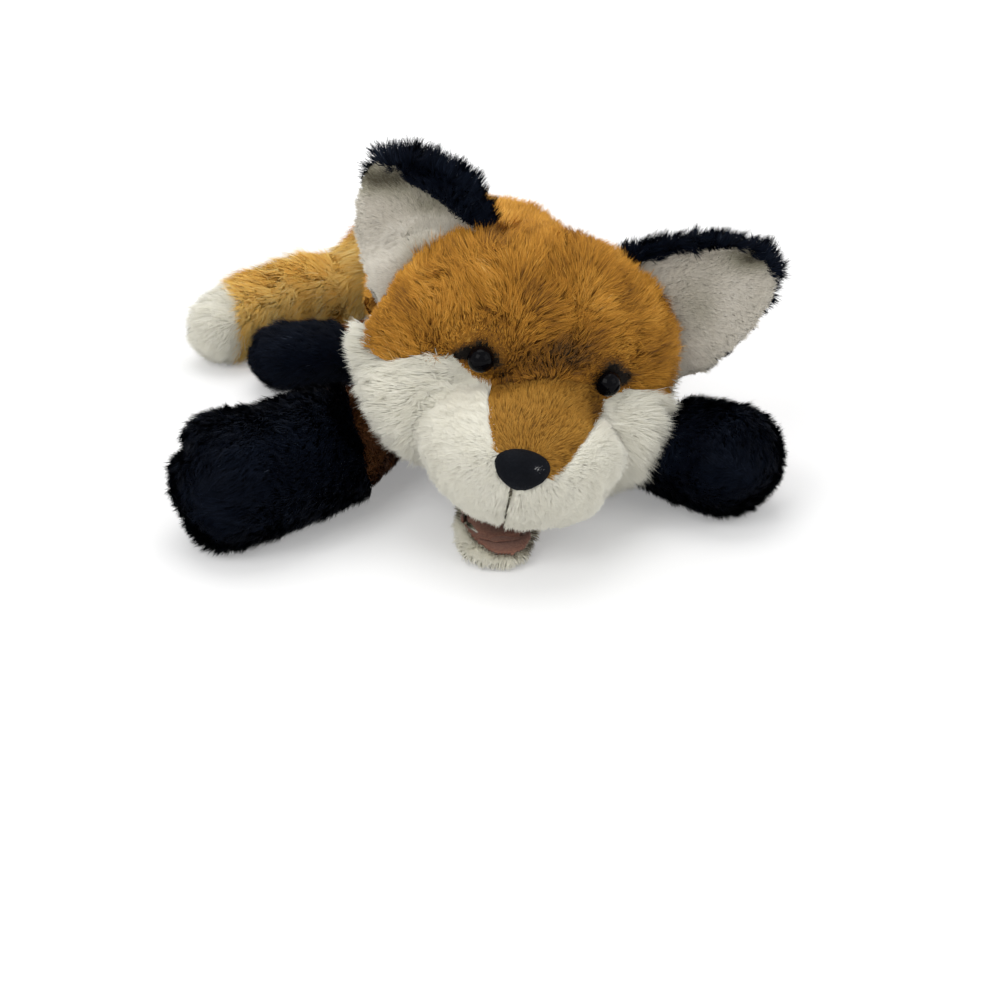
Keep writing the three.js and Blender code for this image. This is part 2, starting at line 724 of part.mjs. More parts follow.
function torso() {
  const neckRoom = roundRoom(neckCentre, NECK_RADIUS, INNER_FACETS);
  const form = (grow) => {
    const places = resting(TORSO_STATIONS);
    const whole = pod(places, TORSO_FRONT_CAP, TORSO_REAR_CAP, grow, OUTER_SIDES);
    return whole.intersect(above(-grow)).subtract(behind(OPENING_Y + grow));
  };
  const opened = (made) => made.subtract(neckRoom).subtract(sockets);
  const skin = opened(form(0).subtract(form(-SKIN))).subtract(handSpace(LINING + SEAM));
  const back = skin.intersect(above(BELLY_SEAM_HEIGHT + SEAM / 2));
  const belly = skin.subtract(above(BELLY_SEAM_HEIGHT - SEAM / 2));
  const filling = opened(form(-SKIN - FIT)).subtract(handSpace(LINING + FIT));
  const lining = handSpace(LINING)
    .subtract(handSpace(0))
    .subtract(neckRoom)
    .intersect(behind(NECK_Y))
    .subtract(behind(OPENING_Y + HEM_RADIUS));
  const hemMiddle = point(OPENING_X, OPENING_Y + SEAM + HEM_RADIUS, OPENING_HEIGHT);
  const out = HEM_RADIUS + LINING + SEAM;
  const hem = hoop(hemMiddle, OPENING_HALF_WIDTH + out, OPENING_HALF_HEIGHT + out, HEM_RADIUS);
  const group = new THREE.Group();
  group.add(
    mesh("back_panel", largest(back), rust),
    mesh("belly_panel", largest(belly), auburn),
    mesh("torso_stuffing", largest(filling), fibre),
    mesh("hand_lining", largest(lining), cotton),
    mesh("opening_hem", hem, auburn),
  );
  return group;
}

function neck() {
  const front = point(-FAR, NECK_Y - NECK_HALF_LENGTH, -FAR);
  const rear = point(FAR, NECK_Y + NECK_HALF_LENGTH, FAR);
  const slab = box(front, rear);
  const passage = (grow) => {
    const route = [-NECK_RADIUS, NECK_RADIUS].map((along) => [
      NECK_X,
      NECK_Y + along,
      NECK_HEIGHT,
      NECK_SPACE_HALF_WIDTH,
      NECK_SPACE_HALF_HEIGHT,
    ]);
    return pod(route, SPACE_CAP, SPACE_CAP, grow);
  };
  const globe = (grow) => ball(neckCentre, NECK_RADIUS + grow);
  const skin = globe(0).subtract(globe(-SKIN)).subtract(passage(LINING + SEAM));
  const filling = globe(-SKIN - FIT).subtract(passage(LINING + FIT));
  const lining = passage(LINING).subtract(passage(0));
  const group = new THREE.Group();
  group.add(
    mesh("neck_ruff", largest(skin.intersect(slab)), rust),
    mesh("neck_stuffing", largest(filling.intersect(slab)), fibre),
    mesh("neck_lining", largest(lining.intersect(slab)), cotton),
  );
  return group;
}

// One ear: its frame stands at the middle of the line through its corners, +Z to the tip
function ear(side, { x, y, z, height, lean, turn }) {
  const place = headFrame.clone().multiply(frame(x, y, z, turn, lean));
  const halfWidth = (level) => {
    const up = Math.max(level, 0);
    return EAR_HALF_WIDTH * (1 + EAR_FLARE * up) * (1 - up ** EAR_FULLNESS) ** EAR_CLOSING;
  };
  const cupped = (share, level) => {
    return EAR_CUP * (1 - share * share) * (1 - EAR_CUP_FADE * Math.max(level, 0));
  };
  const plate = (thickness, inset, setBack) => {
    const section = (level) => {
      const points = [];
      for (let k = 0; k < OUTER_SIDES; k += 1) {
        const angle = (2 * Math.PI * k) / OUTER_SIDES;
        const across = (halfWidth(level) - inset) * Math.cos(angle);
        const share = across / halfWidth(level);
        const back = (thickness / 2) * Math.sin(angle) + cupped(share, level) + setBack(share);
        points.push(point(across, back, level * height));
      }
      return points;
    };
    const levels = [-EAR_FOOT / height, ...EAR_LEVELS];
    const wide = levels.filter((level) => halfWidth(level) > EAR_LINING_END * inset);
    const tip = point(0, setBack(0), height - inset);
    const bottom = point(0, cupped(0, 0) + setBack(0), -EAR_FOOT - 1);
    return closedRings(wide.map(section).reverse(), tip, bottom);
  };
  const liningAt = (share) => {
    const bulge = EAR_BACK_THICKNESS * Math.sqrt(1 - share * share);
    return -SEAM - (EAR_LINING_THICKNESS + bulge) / 2;
  };
  const core = skullForm(-EAR_SEAM_DEPTH);
  const shaped = (made) => largest(made.transform(place.elements).subtract(core));
  const back = shaped(plate(EAR_BACK_THICKNESS, 0, () => 0));
  const inner = shaped(plate(EAR_LINING_THICKNESS, EAR_LINING_INSET, liningAt));
  const pivot = point(0, 0, EAR_HINGE).applyMatrix4(place);
  const axis = point(1, 0, 0).transformDirection(place);
  const foot = back.add(inner).intersect(skullForm(EAR_ROOM_HEIGHT));
  const home = place.clone().invert();
  const footCorners = corners(foot).map((corner) => corner.applyMatrix4(home));
  const spacing = (2 * EAR_HALF_WIDTH) / 3;
  const fit = point(SWING_FIT, SWING_FIT, SWING_FIT);
  const past = EAR_FOLD + EAR_FOLD_PAST;
  const rooms = [-spacing, 0, spacing].map((across) => {
    const reach = EAR_ROOM_OVERLAP * spacing;
    const near = footCorners.filter((corner) => Math.abs(corner.x - across) < reach);
    const extent = new THREE.Box3().setFromPoints(near);
    const block = box(extent.min.sub(fit), extent.max.add(fit), place);
    return turningRoom(block, pivot, axis, [-past, 0, past]);
  });
  const group = new THREE.Group();
  group.add(mesh(`${side}_ear_back`, back, black), mesh(`${side}_ear_lining`, inner, earGrey));
  return { group, room: join(rooms) };
}

// An eye: a dome on the plush, a shank through it, and the washer that holds it inside
function eye(side, [across, z]) {
  const x = across - SKULL_SHIFT;
  const depth = 1 - (across / SKULL_HALF_WIDTH) ** 2 - (z / SKULL_HALF_HEIGHT) ** 2;
  const y = -SKULL_HALF_DEPTH * Math.sqrt(depth);
  const out = point(
    across / SKULL_HALF_WIDTH ** 2,
    y / SKULL_HALF_DEPTH ** 2,
    z / SKULL_HALF_HEIGHT ** 2,
  );
  const turn = new THREE.Quaternion().setFromUnitVectors(UP, out.normalize());
  const seat = new THREE.Matrix4().compose(point(x, y, z), turn, point(1, 1, 1));
  const place = headFrame.clone().multiply(seat);
  const rod = (radius, low, high) => {
    const geometry = new THREE.CylinderGeometry(radius, radius, high - low, INNER_SIDES);
    geometry.rotateX(Math.PI / 2).translate(0, 0, (high + low) / 2);
    return solid(geometry, place);
  };
  const outside = box(point(-NEAR, -NEAR, -EYE_SEAT), point(NEAR, NEAR, NEAR), place);
  const domeSize = [EYE_RADIUS, EYE_RADIUS, EYE_DOME];
  const dome = ellipsoid(point(0, 0, -EYE_SEAT), domeSize, place).intersect(outside);
  const shankEnd = -EYE_SEAT - EYE_SHANK_LENGTH;
  const shank = rod(EYE_SHANK_RADIUS, shankEnd, 0);
  const hole = rod(EYE_SHANK_RADIUS + FIT, shankEnd - FIT, NEAR);
  const washerTop = -SKIN - 2 * FIT;
  const washerBack = washerTop - WASHER_THICKNESS;
  const washer = rod(WASHER_RADIUS, washerBack, washerTop).subtract(hole);
  const pocket = rod(WASHER_RADIUS + FIT, washerBack - FIT, washerTop + FIT);
  const dish = rod((EYE_RADIUS + FIT) / FLAT, -EYE_SEAT - FIT, NEAR);
  return {
    pieces: [
      mesh(`${side}_eye`, dome.add(shank), gloss),
      mesh(`${side}_eye_washer`, washer, nylon),
    ],
    room: dish.add(hole).add(pocket),
  };
}

function noseForm(grow) {
  const geometry = new THREE.IcosahedronGeometry(1, INNER_FACETS);
  const at = geometry.getAttribute("position");
  for (let i = 0; i < at.count; i += 1) {
    at.setX(i, at.getX(i) * (1 + NOSE_FLARE * at.getZ(i)));
  }
  geometry.scale(NOSE_HALF_WIDTH + grow, NOSE_HALF_LENGTH + grow, NOSE_HALF_HEIGHT + grow);
  return solid(geometry, frame(NOSE_X, NOSE_Y, NOSE_HEIGHT, 0, HEAD_ROLL));
}

function fingerSpace(grow) {
  return pod(FINGER_STATIONS, SPACE_CAP, FINGER_CAP, grow);
}

// From the neck's opening down to the back of the jaw
function thumbSpace() {
  const top = ball(point(...THUMB_TOP), THUMB_RADIUS, COARSE_FACETS);
  const tip = ball(point(...THUMB_TIP), THUMB_TIP_RADIUS, COARSE_FACETS);
  return solid(new ConvexGeometry([...corners(top), ...corners(tip)]));
}

function head() {
  const eyes = [eye("right", RIGHT_EYE), eye("left", LEFT_EYE)];
  const neckRoom = roundRoom(neckCentre, NECK_RADIUS, INNER_FACETS);
  const rooms = [neckRoom, mouthRoom(MOUTH_LINING + SEAM)];
  rooms.push(...[...ears, ...eyes].map((one) => one.room));
  const opened = (made, more) => {
    return [...rooms, ...more].reduce((rest, room) => rest.subtract(room), made);
  };
  const skin = opened(headForm(0).subtract(headForm(-SKIN)), [
    noseForm(SEAM),
    fingerSpace(LINING + SEAM),
  ]);
  const filling = opened(headForm(-SKIN - FIT), [
    noseForm(FIT),
    fingerSpace(LINING + FIT),
    thumbSpace(),
  ]);
  const throat = skin.intersect(throatRegion(-SEAM / 2));
  const face = skin.subtract(throatRegion(SEAM / 2));
  const front = face.intersect(muzzleRegion(SEAM / 2));
  const sides = front.subtract(muzzleTopRegion(SEAM));
  const rear = face.subtract(muzzleRegion(-SEAM / 2));
  const cheeks = rear.subtract(crownRegion(-SEAM / 2));
  const pocket = fingerSpace(LINING).subtract(fingerSpace(0)).subtract(neckRoom);
  const roof = mouthRoom(MOUTH_LINING).subtract(mouthRoom(0)).intersect(headForm(-1));
  const low = filling.subtract(above(FILLING_SPLIT - SEAM / 2));
  const thumbSide = frame(THUMB_TOP[0], 0, 0, 0, 0);
  const pieces = [
    ["crown_panel", rear.intersect(crownRegion(SEAM / 2)), rust],
    ["right_cheek_panel", cheeks.subtract(leftHalf(-SEAM / 2, headFrame)), white],
    ["left_cheek_panel", cheeks.intersect(leftHalf(SEAM / 2, headFrame)), white],
    ["muzzle_top_panel", front.intersect(muzzleTopRegion(0)), muzzleBrown],
    ["right_muzzle_panel", sides.subtract(leftHalf(-SEAM / 2, muzzleFrame)), white],
    ["left_muzzle_panel", sides.intersect(leftHalf(SEAM / 2, muzzleFrame)), white],
    ["throat_panel", throat, white],
    ["head_stuffing", filling.intersect(above(FILLING_SPLIT + SEAM / 2)), fibre],
    ["right_cheek_stuffing", low.subtract(leftHalf(-SEAM / 2, thumbSide)), fibre],
    ["left_cheek_stuffing", low.intersect(leftHalf(SEAM / 2, thumbSide)), fibre],
    ["finger_pocket", pocket, cotton],
    ["mouth_roof", roof, suede],
    ["nose", noseForm(0), velvet],
  ];
  const group = new THREE.Group();
  group.add(...pieces.map(([name, made, material]) => mesh(name, largest(made), material)));
  group.add(...eyes.flatMap((one) => one.pieces));
  return group;
}

// The jaw: a boat of plush with a suede floor, hollow for the thumb
function jaw() {
  const behindHinge = besideJaw([[0, -NEAR], [NEAR, -NEAR], [NEAR, NEAR], [0, NEAR]], NEAR);
  const hinge = (radius) => {
    const geometry = new THREE.CylinderGeometry(radius, radius, NEAR * 2, RING_FACETS);
    geometry.rotateZ(Math.PI / 2);
    return solid(geometry, jawFrame);
  };
  const form = (grow) => {
    const boat = pod(JAW_STATIONS, SPACE_CAP, JAW_CAP, grow, OUTER_SIDES);
    const cut = behindHinge.subtract(hinge(JAW_HINGE_RADIUS + grow));
    return boat.transform(jawFrame.elements).subtract(cut).intersect(above(-grow));
  };
  const overFloor = (raise) => {
    const start = MOUTH_FLOOR_HEIGHT + raise;
    const end = start - NEAR * Math.tan(THREE.MathUtils.degToRad(MOUTH_FLOOR_SLOPE));
    return besideJaw([[NEAR, start], [NEAR, NEAR], [-NEAR, NEAR], [-NEAR, end]], NEAR);
  };
  const thumbDoor = besideJaw(
    [
      [THUMB_DOOR_FRONT, THUMB_DOOR_SILL],
      [NEAR, THUMB_DOOR_SILL],
      [NEAR, NEAR],
      [THUMB_DOOR_FRONT, NEAR],
    ],
    JAW_HALF_WIDTH - THUMB_DOOR_MARGIN,
  );
  const chin = form(0).subtract(form(-JAW_SKIN)).subtract(overFloor(0)).subtract(thumbDoor);
  const floor = form(-MOUTH_LINING_INSET)
    .intersect(overFloor(SEAM))
    .subtract(overFloor(SEAM + MOUTH_LINING));
  const group = new THREE.Group();
  group.add(
    mesh("chin_panel", largest(chin), white),
    mesh("mouth_floor", largest(floor), suede),
  );
  return group;
}

const ears = [ear("right", RIGHT_EAR), ear("left", LEFT_EAR)];
const fox = new THREE.Group();
fox.add(torso(), neck(), head(), jaw(), ...ears.map((one) => one.group));
fox.add(foreleg("right"), foreleg("left"), hindleg("right"), hindleg("left"), tailPieces());

// The origin is on the floor, under the middle of the whole puppet
const bounds = new THREE.Box3().setFromObject(fox);
const middle = bounds.getCenter(new THREE.Vector3());
fox.position.set(-middle.x, -middle.y, 0);

export default fox;
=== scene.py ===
import json
import math

import bpy
import numpy as np
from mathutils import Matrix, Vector
from mathutils.bvhtree import BVHTree
from mathutils.kdtree import KDTree

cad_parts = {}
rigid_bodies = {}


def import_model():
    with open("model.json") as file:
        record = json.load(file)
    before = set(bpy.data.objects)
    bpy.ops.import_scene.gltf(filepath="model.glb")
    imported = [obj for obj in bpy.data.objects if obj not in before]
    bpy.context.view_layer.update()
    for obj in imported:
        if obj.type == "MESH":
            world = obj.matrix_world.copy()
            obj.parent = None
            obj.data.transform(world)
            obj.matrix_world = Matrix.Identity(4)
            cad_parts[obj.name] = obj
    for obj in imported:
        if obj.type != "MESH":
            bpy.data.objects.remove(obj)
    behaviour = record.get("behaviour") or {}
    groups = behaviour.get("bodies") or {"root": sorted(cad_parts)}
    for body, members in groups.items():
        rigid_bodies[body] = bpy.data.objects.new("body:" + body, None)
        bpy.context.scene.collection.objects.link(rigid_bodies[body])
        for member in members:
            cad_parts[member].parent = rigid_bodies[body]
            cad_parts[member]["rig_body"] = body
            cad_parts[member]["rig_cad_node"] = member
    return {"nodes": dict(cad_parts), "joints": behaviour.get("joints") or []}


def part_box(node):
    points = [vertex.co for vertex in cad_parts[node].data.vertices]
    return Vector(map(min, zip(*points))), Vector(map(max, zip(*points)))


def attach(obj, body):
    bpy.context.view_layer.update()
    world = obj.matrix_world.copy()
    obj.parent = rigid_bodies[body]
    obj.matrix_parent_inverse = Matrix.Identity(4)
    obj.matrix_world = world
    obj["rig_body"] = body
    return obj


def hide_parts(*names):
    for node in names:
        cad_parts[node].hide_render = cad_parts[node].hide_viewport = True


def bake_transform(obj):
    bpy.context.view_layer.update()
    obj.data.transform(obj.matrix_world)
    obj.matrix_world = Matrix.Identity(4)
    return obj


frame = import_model()
bpy.ops.object.select_all(action="DESELECT")
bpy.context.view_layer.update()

# Camera: the puppet lies on its belly and is seen from in front and 30 degrees above. The lens
# and the shift put the chin and the ears where the photograph has them.
CHIN = Vector((0.013909, -0.167549, 0.0))
CHIN_PIXEL = (485, 570)
CAMERA_DISTANCE = 0.85
CAMERA_DROP = math.radians(30)
FOCAL_PIXELS = 1743
PHOTO_SIDE = 1000
SENSOR_WIDTH = 36
look = Vector((0, math.cos(CAMERA_DROP), -math.sin(CAMERA_DROP)))
look_up = Vector((0, math.sin(CAMERA_DROP), math.cos(CAMERA_DROP)))
eye_point = CHIN - look * CAMERA_DISTANCE
bpy.ops.object.camera_add(location=eye_point, rotation=(math.pi / 2 - CAMERA_DROP, 0, 0))
camera = bpy.context.object
camera.data.sensor_width = SENSOR_WIDTH
camera.data.lens = FOCAL_PIXELS * SENSOR_WIDTH / PHOTO_SIDE
camera.data.shift_x = (PHOTO_SIDE / 2 - CHIN_PIXEL[0]) / PHOTO_SIDE
camera.data.shift_y = (CHIN_PIXEL[1] - PHOTO_SIDE / 2) / PHOTO_SIDE
bpy.context.scene.camera = camera


def pixel_ray(u, v):
    """The direction from the camera through a pixel of the photograph."""
    across = (u - CHIN_PIXEL[0]) / FOCAL_PIXELS
    up = (CHIN_PIXEL[1] - v) / FOCAL_PIXELS
    return (look + Vector((across, 0, 0)) + look_up * up).normalized()


def pixels_of(points):
    """Where the camera sees these points, as pixels of the photograph."""
    seen = points - np.array(eye_point)
    depth = seen @ np.array(look)
    across = CHIN_PIXEL[0] + FOCAL_PIXELS * seen[:, 0] / depth
    down = CHIN_PIXEL[1] - FOCAL_PIXELS * (seen @ np.array(look_up)) / depth
    return across, down


# Studio: a white table and background, one large soft lamp over the front left of the camera, a
# weaker one at the right and one above, and an even light from the room.
ROOM_LIGHT = 0.50
FLOOR_WHITE = 0.82
FLOOR_LIFT = (0.26, 0.75)  # near the puppet and far from it
FLOOR_NEAR = (0.30, 0.75)  # where the one gives way to the other, in metres
LAMPS = [  # each with its place, its side in metres and its watts
    ("key_lamp", (-0.75, -0.95, 1.15), 0.9, 8.0),
    ("fill_lamp", (1.0, -0.7, 0.8), 0.9, 3.0),
    ("top_lamp", (-0.15, 0.45, 1.4), 1.2, 9.5),
]
LAMP_AIM = Vector((0.01, -0.05, 0.06))
TABLE_SIDE = 30


def shader(material, kind, values=None, at=(0, 0)):
    """A shader node of this kind, with its sockets set by name."""
    node = material.node_tree.nodes.new(kind)
    node.location = at
    for name, value in (values or {}).items():
        node.inputs[name].default_value = value
    return node


def seen_directly(tree):
    """1 for a ray from the camera, or one that a gloss or glass sends on, and 0 for others."""
    path = tree.nodes.new("ShaderNodeLightPath")
    total = path.outputs["Is Camera Ray"]
    for name in ("Is Glossy Ray", "Is Transmission Ray"):
        either = tree.nodes.new("ShaderNodeMath")
        either.operation = "MAXIMUM"
        tree.links.new(total, either.inputs[0])
        tree.links.new(path.outputs[name], either.inputs[1])
        total = either.outputs[0]
    return total


world = bpy.data.worlds.new("studio_room")
bpy.context.scene.world = world
world.use_nodes = True
tree = world.node_tree
room = tree.nodes["Background"]
room.inputs["Color"].default_value = (1, 1, 1, 1)
strength = tree.nodes.new("ShaderNodeMapRange")
strength.inputs["To Min"].default_value = ROOM_LIGHT
strength.inputs["To Max"].default_value = 1
tree.links.new(seen_directly(tree), strength.inputs["Value"])
tree.links.new(strength.outputs["Result"], room.inputs["Strength"])

for name, place, side, watts in LAMPS:
    bpy.ops.object.light_add(type="AREA", location=place)
    lamp = bpy.context.object
    lamp.name = name
    lamp.data.size = side
    lamp.data.energy = watts
    lamp.rotation_euler = (LAMP_AIM - Vector(place)).to_track_quat("-Z", "Y").to_euler()

bpy.ops.mesh.primitive_plane_add(size=TABLE_SIDE, location=(0, 0, 0))
floor = bpy.context.object
floor.name = "white_table"
paper = bpy.data.materials.new("white_table")
paper.use_nodes = True
paper.node_tree.nodes.clear()
whites = (FLOOR_WHITE, FLOOR_WHITE, FLOOR_WHITE, 1)
matte = shader(paper, "ShaderNodeBsdfDiffuse", {"Color": whites}, (0, 200))
lift = shader(paper, "ShaderNodeEmission", {"Color": (1, 1, 1, 1)})
place = shader(paper, "ShaderNodeTexCoord", at=(-900, -200))
reach = shader(paper, "ShaderNodeVectorMath", at=(-700, -200))
reach.operation = "LENGTH"
raise_far = shader(paper, "ShaderNodeMapRange", {
    "From Min": FLOOR_NEAR[0], "From Max": FLOOR_NEAR[1], "To Min": FLOOR_LIFT[0],
    "To Max": FLOOR_LIFT[1]}, (-500, -200))
raise_far.interpolation_type = "SMOOTHSTEP"
lifted = shader(paper, "ShaderNodeMath", at=(-200, 0))
lifted.operation = "MULTIPLY"
total = shader(paper, "ShaderNodeAddShader", at=(200, 100))
sheet_out = shader(paper, "ShaderNodeOutputMaterial", at=(400, 100))
links = paper.node_tree.links
links.new(place.outputs["Object"], reach.inputs[0])
links.new(reach.outputs["Value"], raise_far.inputs["Value"])
links.new(raise_far.outputs[0], lifted.inputs[1])
links.new(seen_directly(paper.node_tree), lifted.inputs[0])
links.new(lifted.outputs[0], lift.inputs["Strength"])
links.new(matte.outputs[0], total.inputs[0])
links.new(lift.outputs[0], total.inputs[1])
links.new(total.outputs[0], sheet_out.inputs["Surface"])
floor.data.materials.append(paper)
bpy.context.scene.view_settings.view_transform = "Standard"

# Body: a back panel of rust plush and a belly panel of auburn plush, sewn round the sides and
# loosely filled. The pile is combed towards the tail, and it has tufts and swirls from handling.
TABLE_GAP = 0.0003  # the lowest that any fibre reaches
ROOT_DEPTH = 0.0008  # of a fibre's root under the backing
FIBRE_WIDTH = 0.00052
SUNK = 0.003  # how far the backing lies under the solid's face
SPARE_ROOTS = 2.2  # roots drawn for each fibre wanted, as some fall outside the panel
PRESSED_BARE = 0.75  # the share of the pile left out where the puppet lies on it
FACING_DOWN = -0.6  # the height of a normal there, at most
PRESSED_HEIGHT = 0.004  # of the backing there, at most
SWIRL_SIZE = 0.026  # of a swirl in the pile
LENGTH_PATCH = 0.007  # of a patch of longer or shorter pile
SHORTEST, LONGEST = 0.35, 1.5  # of all fibres, as shares of the pile's length
DYE_PATCH = 0.021  # of a patch of lighter or darker pile
STRAY = 0.16  # how far single fibres stray from the way of the rest
LOCK_FIBRES = 14  # fibres whose tips are drawn together
LOCK_REACH = 1.6  # how far they may be apart, in lengths of a tuft
PULL = (0.15, 0.45)  # the least and the most that a tip is drawn to its lock
FULL_TUFT = 0.35  # the tuft at which the pull is whole
SECTION = 0.52  # of a fibre's length, for each of its two parts
ROLL = 38  # degrees that a fibre may be rolled off the way it lies
DYE_STEP = 0.004  # half the width of a fibre's strip on its map
DYE_ENDS = (0.012, 0.988)  # the least and the most dye, where a strip is still on the map
# The backing's place on the map gives it the painted root shade of its pile, less of it underneath.
DEEP, SHALLOW = 0.55, 0.10  # the backing's place on the map, underneath and elsewhere
RUST = [
    (0.0, (0.006, 0.005, 0.005)),
    (0.10, (0.060, 0.040, 0.022)),
    (0.30, (0.280, 0.118, 0.020)),
    (0.55, (0.560, 0.250, 0.030)),
    (0.80, (0.780, 0.400, 0.070)),
    (1.0, (0.930, 0.620, 0.220)),
]
AUBURN = [(0.0, (0.05, 0.022, 0.010)), (0.5, (0.16, 0.060, 0.020)), (1.0, (0.34, 0.15, 0.05))]


def mesh_arrays(mesh):
    """A mesh's corners, their normals and its triangles."""
    corners = np.empty(len(mesh.vertices) * 3)
    mesh.vertices.foreach_get("co", corners)
    normals = np.empty(len(mesh.vertices) * 3)
    mesh.vertices.foreach_get("normal", normals)
    mesh.calc_loop_triangles()
    triangles = np.empty(len(mesh.loop_triangles) * 3, np.int32)
    mesh.loop_triangles.foreach_get("vertices", triangles)
    return corners.reshape(-1, 3), normals.reshape(-1, 3), triangles.reshape(-1, 3)


def unit(vectors):
    return vectors / np.maximum(np.linalg.norm(vectors, axis=-1, keepdims=True), 1e-12)


def smooth_form(name, nodes, voxel, rounds, sunk):
    """One smooth closed object round some CAD nodes: copied, joined, remeshed, smoothed, drawn in.

    A wall thinner than two voxels would get holes, so with no voxel it is subdivided instead."""
    bpy.ops.object.select_all(action="DESELECT")
    copies = []
    for node in nodes:
        copy = frame["nodes"][node].copy()
        copy.data = copy.data.copy()
        copy.parent = None
        copy.hide_render = copy.hide_viewport = False
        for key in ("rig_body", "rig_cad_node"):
            del copy[key]
        bpy.context.scene.collection.objects.link(copy)
        copy.select_set(True)
        copies.append(copy)
    form = copies[0]
    bpy.context.view_layer.objects.active = form
    if len(copies) > 1:
        bpy.ops.object.join()
    form.name = name
    form.data.materials.clear()
    bpy.ops.object.mode_set(mode="EDIT")
    bpy.ops.mesh.select_all(action="SELECT")
    bpy.ops.mesh.remove_doubles(threshold=1e-6)
    bpy.ops.object.mode_set(mode="OBJECT")
    if voxel:
        even = form.modifiers.new("even", "REMESH")
        even.mode = "VOXEL"
        even.voxel_size = voxel
    else:
        even = form.modifiers.new("even", "SUBSURF")
        even.levels = even.render_levels = 2
    bpy.ops.object.modifier_apply(modifier=even.name)
    smooth = form.modifiers.new("soft", "SMOOTH")
    smooth.factor = 0.5
    smooth.iterations = rounds
    bpy.ops.object.modifier_apply(modifier=smooth.name)
    bpy.ops.object.shade_smooth()
    corners, normals, _ = mesh_arrays(form.data)
    corners = corners - normals * sunk
    corners[:, 2] = np.maximum(corners[:, 2], 2 * TABLE_GAP)
    form.data.vertices.foreach_set("co", corners.ravel())
    form.data.update()
    return form


def backing(name, nodes, panels, voxel=0.003, rounds=10, sunk=SUNK, shape=None, marks=None):
    """The woven backing of a body's panels, with how far each corner is from each panel.

    marks moves the lines between the panels: it changes how far some points are from each."""
    form = smooth_form(name, nodes, voxel, rounds, sunk)
    if shape:
        corners, normals, _ = mesh_arrays(form.data)
        form.data.vertices.foreach_set("co", shape(corners, normals).ravel())
        form.data.update()
    corners, normals, triangles = mesh_arrays(form.data)
    bpy.data.objects.remove(form)
    away = np.empty((len(corners), len(panels)))
    for column, panel in enumerate(panels):
        panel_corners, _, panel_triangles = mesh_arrays(frame["nodes"][panel].data)
        tree = BVHTree.FromPolygons(panel_corners.tolist(), panel_triangles.tolist())
        away[:, column] = [tree.find_nearest(c)[3] for c in corners.tolist()]
    marks = marks or (lambda points, up, away: away)
    return {"corners": corners, "normals": normals, "triangles": triangles, "away": away,
            "panels": list(panels), "marks": marks,
            "owner": marks(corners, normals, away.copy()).argmin(1)}


def waves(points, length, seed):
    """Smooth noise from -1 to 1 whose bumps are about this length across."""
    draw = np.random.default_rng(seed)
    total = np.zeros(len(points))
    for _ in range(7):
        way = unit(draw.normal(size=3)) * 2 * math.pi / (length * draw.uniform(0.7, 1.6))
        total += np.sin(points @ way + draw.uniform(0, 2 * math.pi))
    return total / 3.2  # seven waves seldom reach further together


def plush(name, stops, rough=0.65, shine=0.12, root=0.5, tip=1.12, sheen=0.0):
    """Pile dyed along the ramp of stops and read from each fibre's own map, with painted shade that
    darkens it towards the roots and painted light that lightens it towards the tips.
    """
    material = bpy.data.materials.new(name)
    material.use_nodes = True
    tree = material.node_tree
    surface = tree.nodes["Principled BSDF"]
    surface.inputs["Roughness"].default_value = rough
    surface.inputs["Specular IOR Level"].default_value = shine
    surface.inputs["Sheen Weight"].default_value = sheen
    surface.inputs["Sheen Roughness"].default_value = 0.5
    fibre = shader(material, "ShaderNodeUVMap", at=(-900, 0))
    fibre.uv_map = "OFBake"
    parts = shader(material, "ShaderNodeSeparateXYZ", at=(-740, 0))
    dye = shader(material, "ShaderNodeValToRGB", at=(-560, 200))
    while len(dye.color_ramp.elements) < len(stops):
        dye.color_ramp.elements.new(0.5)
    for element, (place, colour) in zip(dye.color_ramp.elements, stops):
        element.position = place
        element.color = (*colour, 1)
    # Painted shade and light along each fibre: root darkens its root end and tip lightens its tip.
    depth = shader(material, "ShaderNodeValToRGB", at=(-560, -80))
    depth.color_ramp.elements[0].color = (root, root, root, 1)
    depth.color_ramp.elements[1].color = (tip, tip, tip, 1)
    middle = depth.color_ramp.elements.new(0.45)
    half = root + (tip - root) * 0.72
    middle.color = (half, half, half, 1)
    streak = shader(material, "ShaderNodeTexNoise", {"Scale": 60, "Detail": 2}, (-740, -320))
    vary = shader(material, "ShaderNodeMapRange", {"To Min": 0.86, "To Max": 1.14}, (-560, -320))
    shade = shader(material, "ShaderNodeMath", at=(-380, -160))
    shade.operation = "MULTIPLY"
    colour = shader(material, "ShaderNodeVectorMath", at=(-200, 100))
    colour.operation = "MULTIPLY"
    links = tree.links
    links.new(fibre.outputs[0], parts.inputs[0])
    links.new(parts.outputs["X"], dye.inputs["Fac"])
    links.new(parts.outputs["Y"], depth.inputs["Fac"])
    links.new(fibre.outputs[0], streak.inputs["Vector"])
    links.new(streak.outputs[0], vary.inputs["Value"])
    links.new(depth.outputs["Color"], shade.inputs[0])
    links.new(vary.outputs[0], shade.inputs[1])
    links.new(dye.outputs["Color"], colour.inputs[0])
    links.new(shade.outputs[0], colour.inputs[1])
    links.new(colour.outputs[0], surface.inputs["Base Color"])
    return material


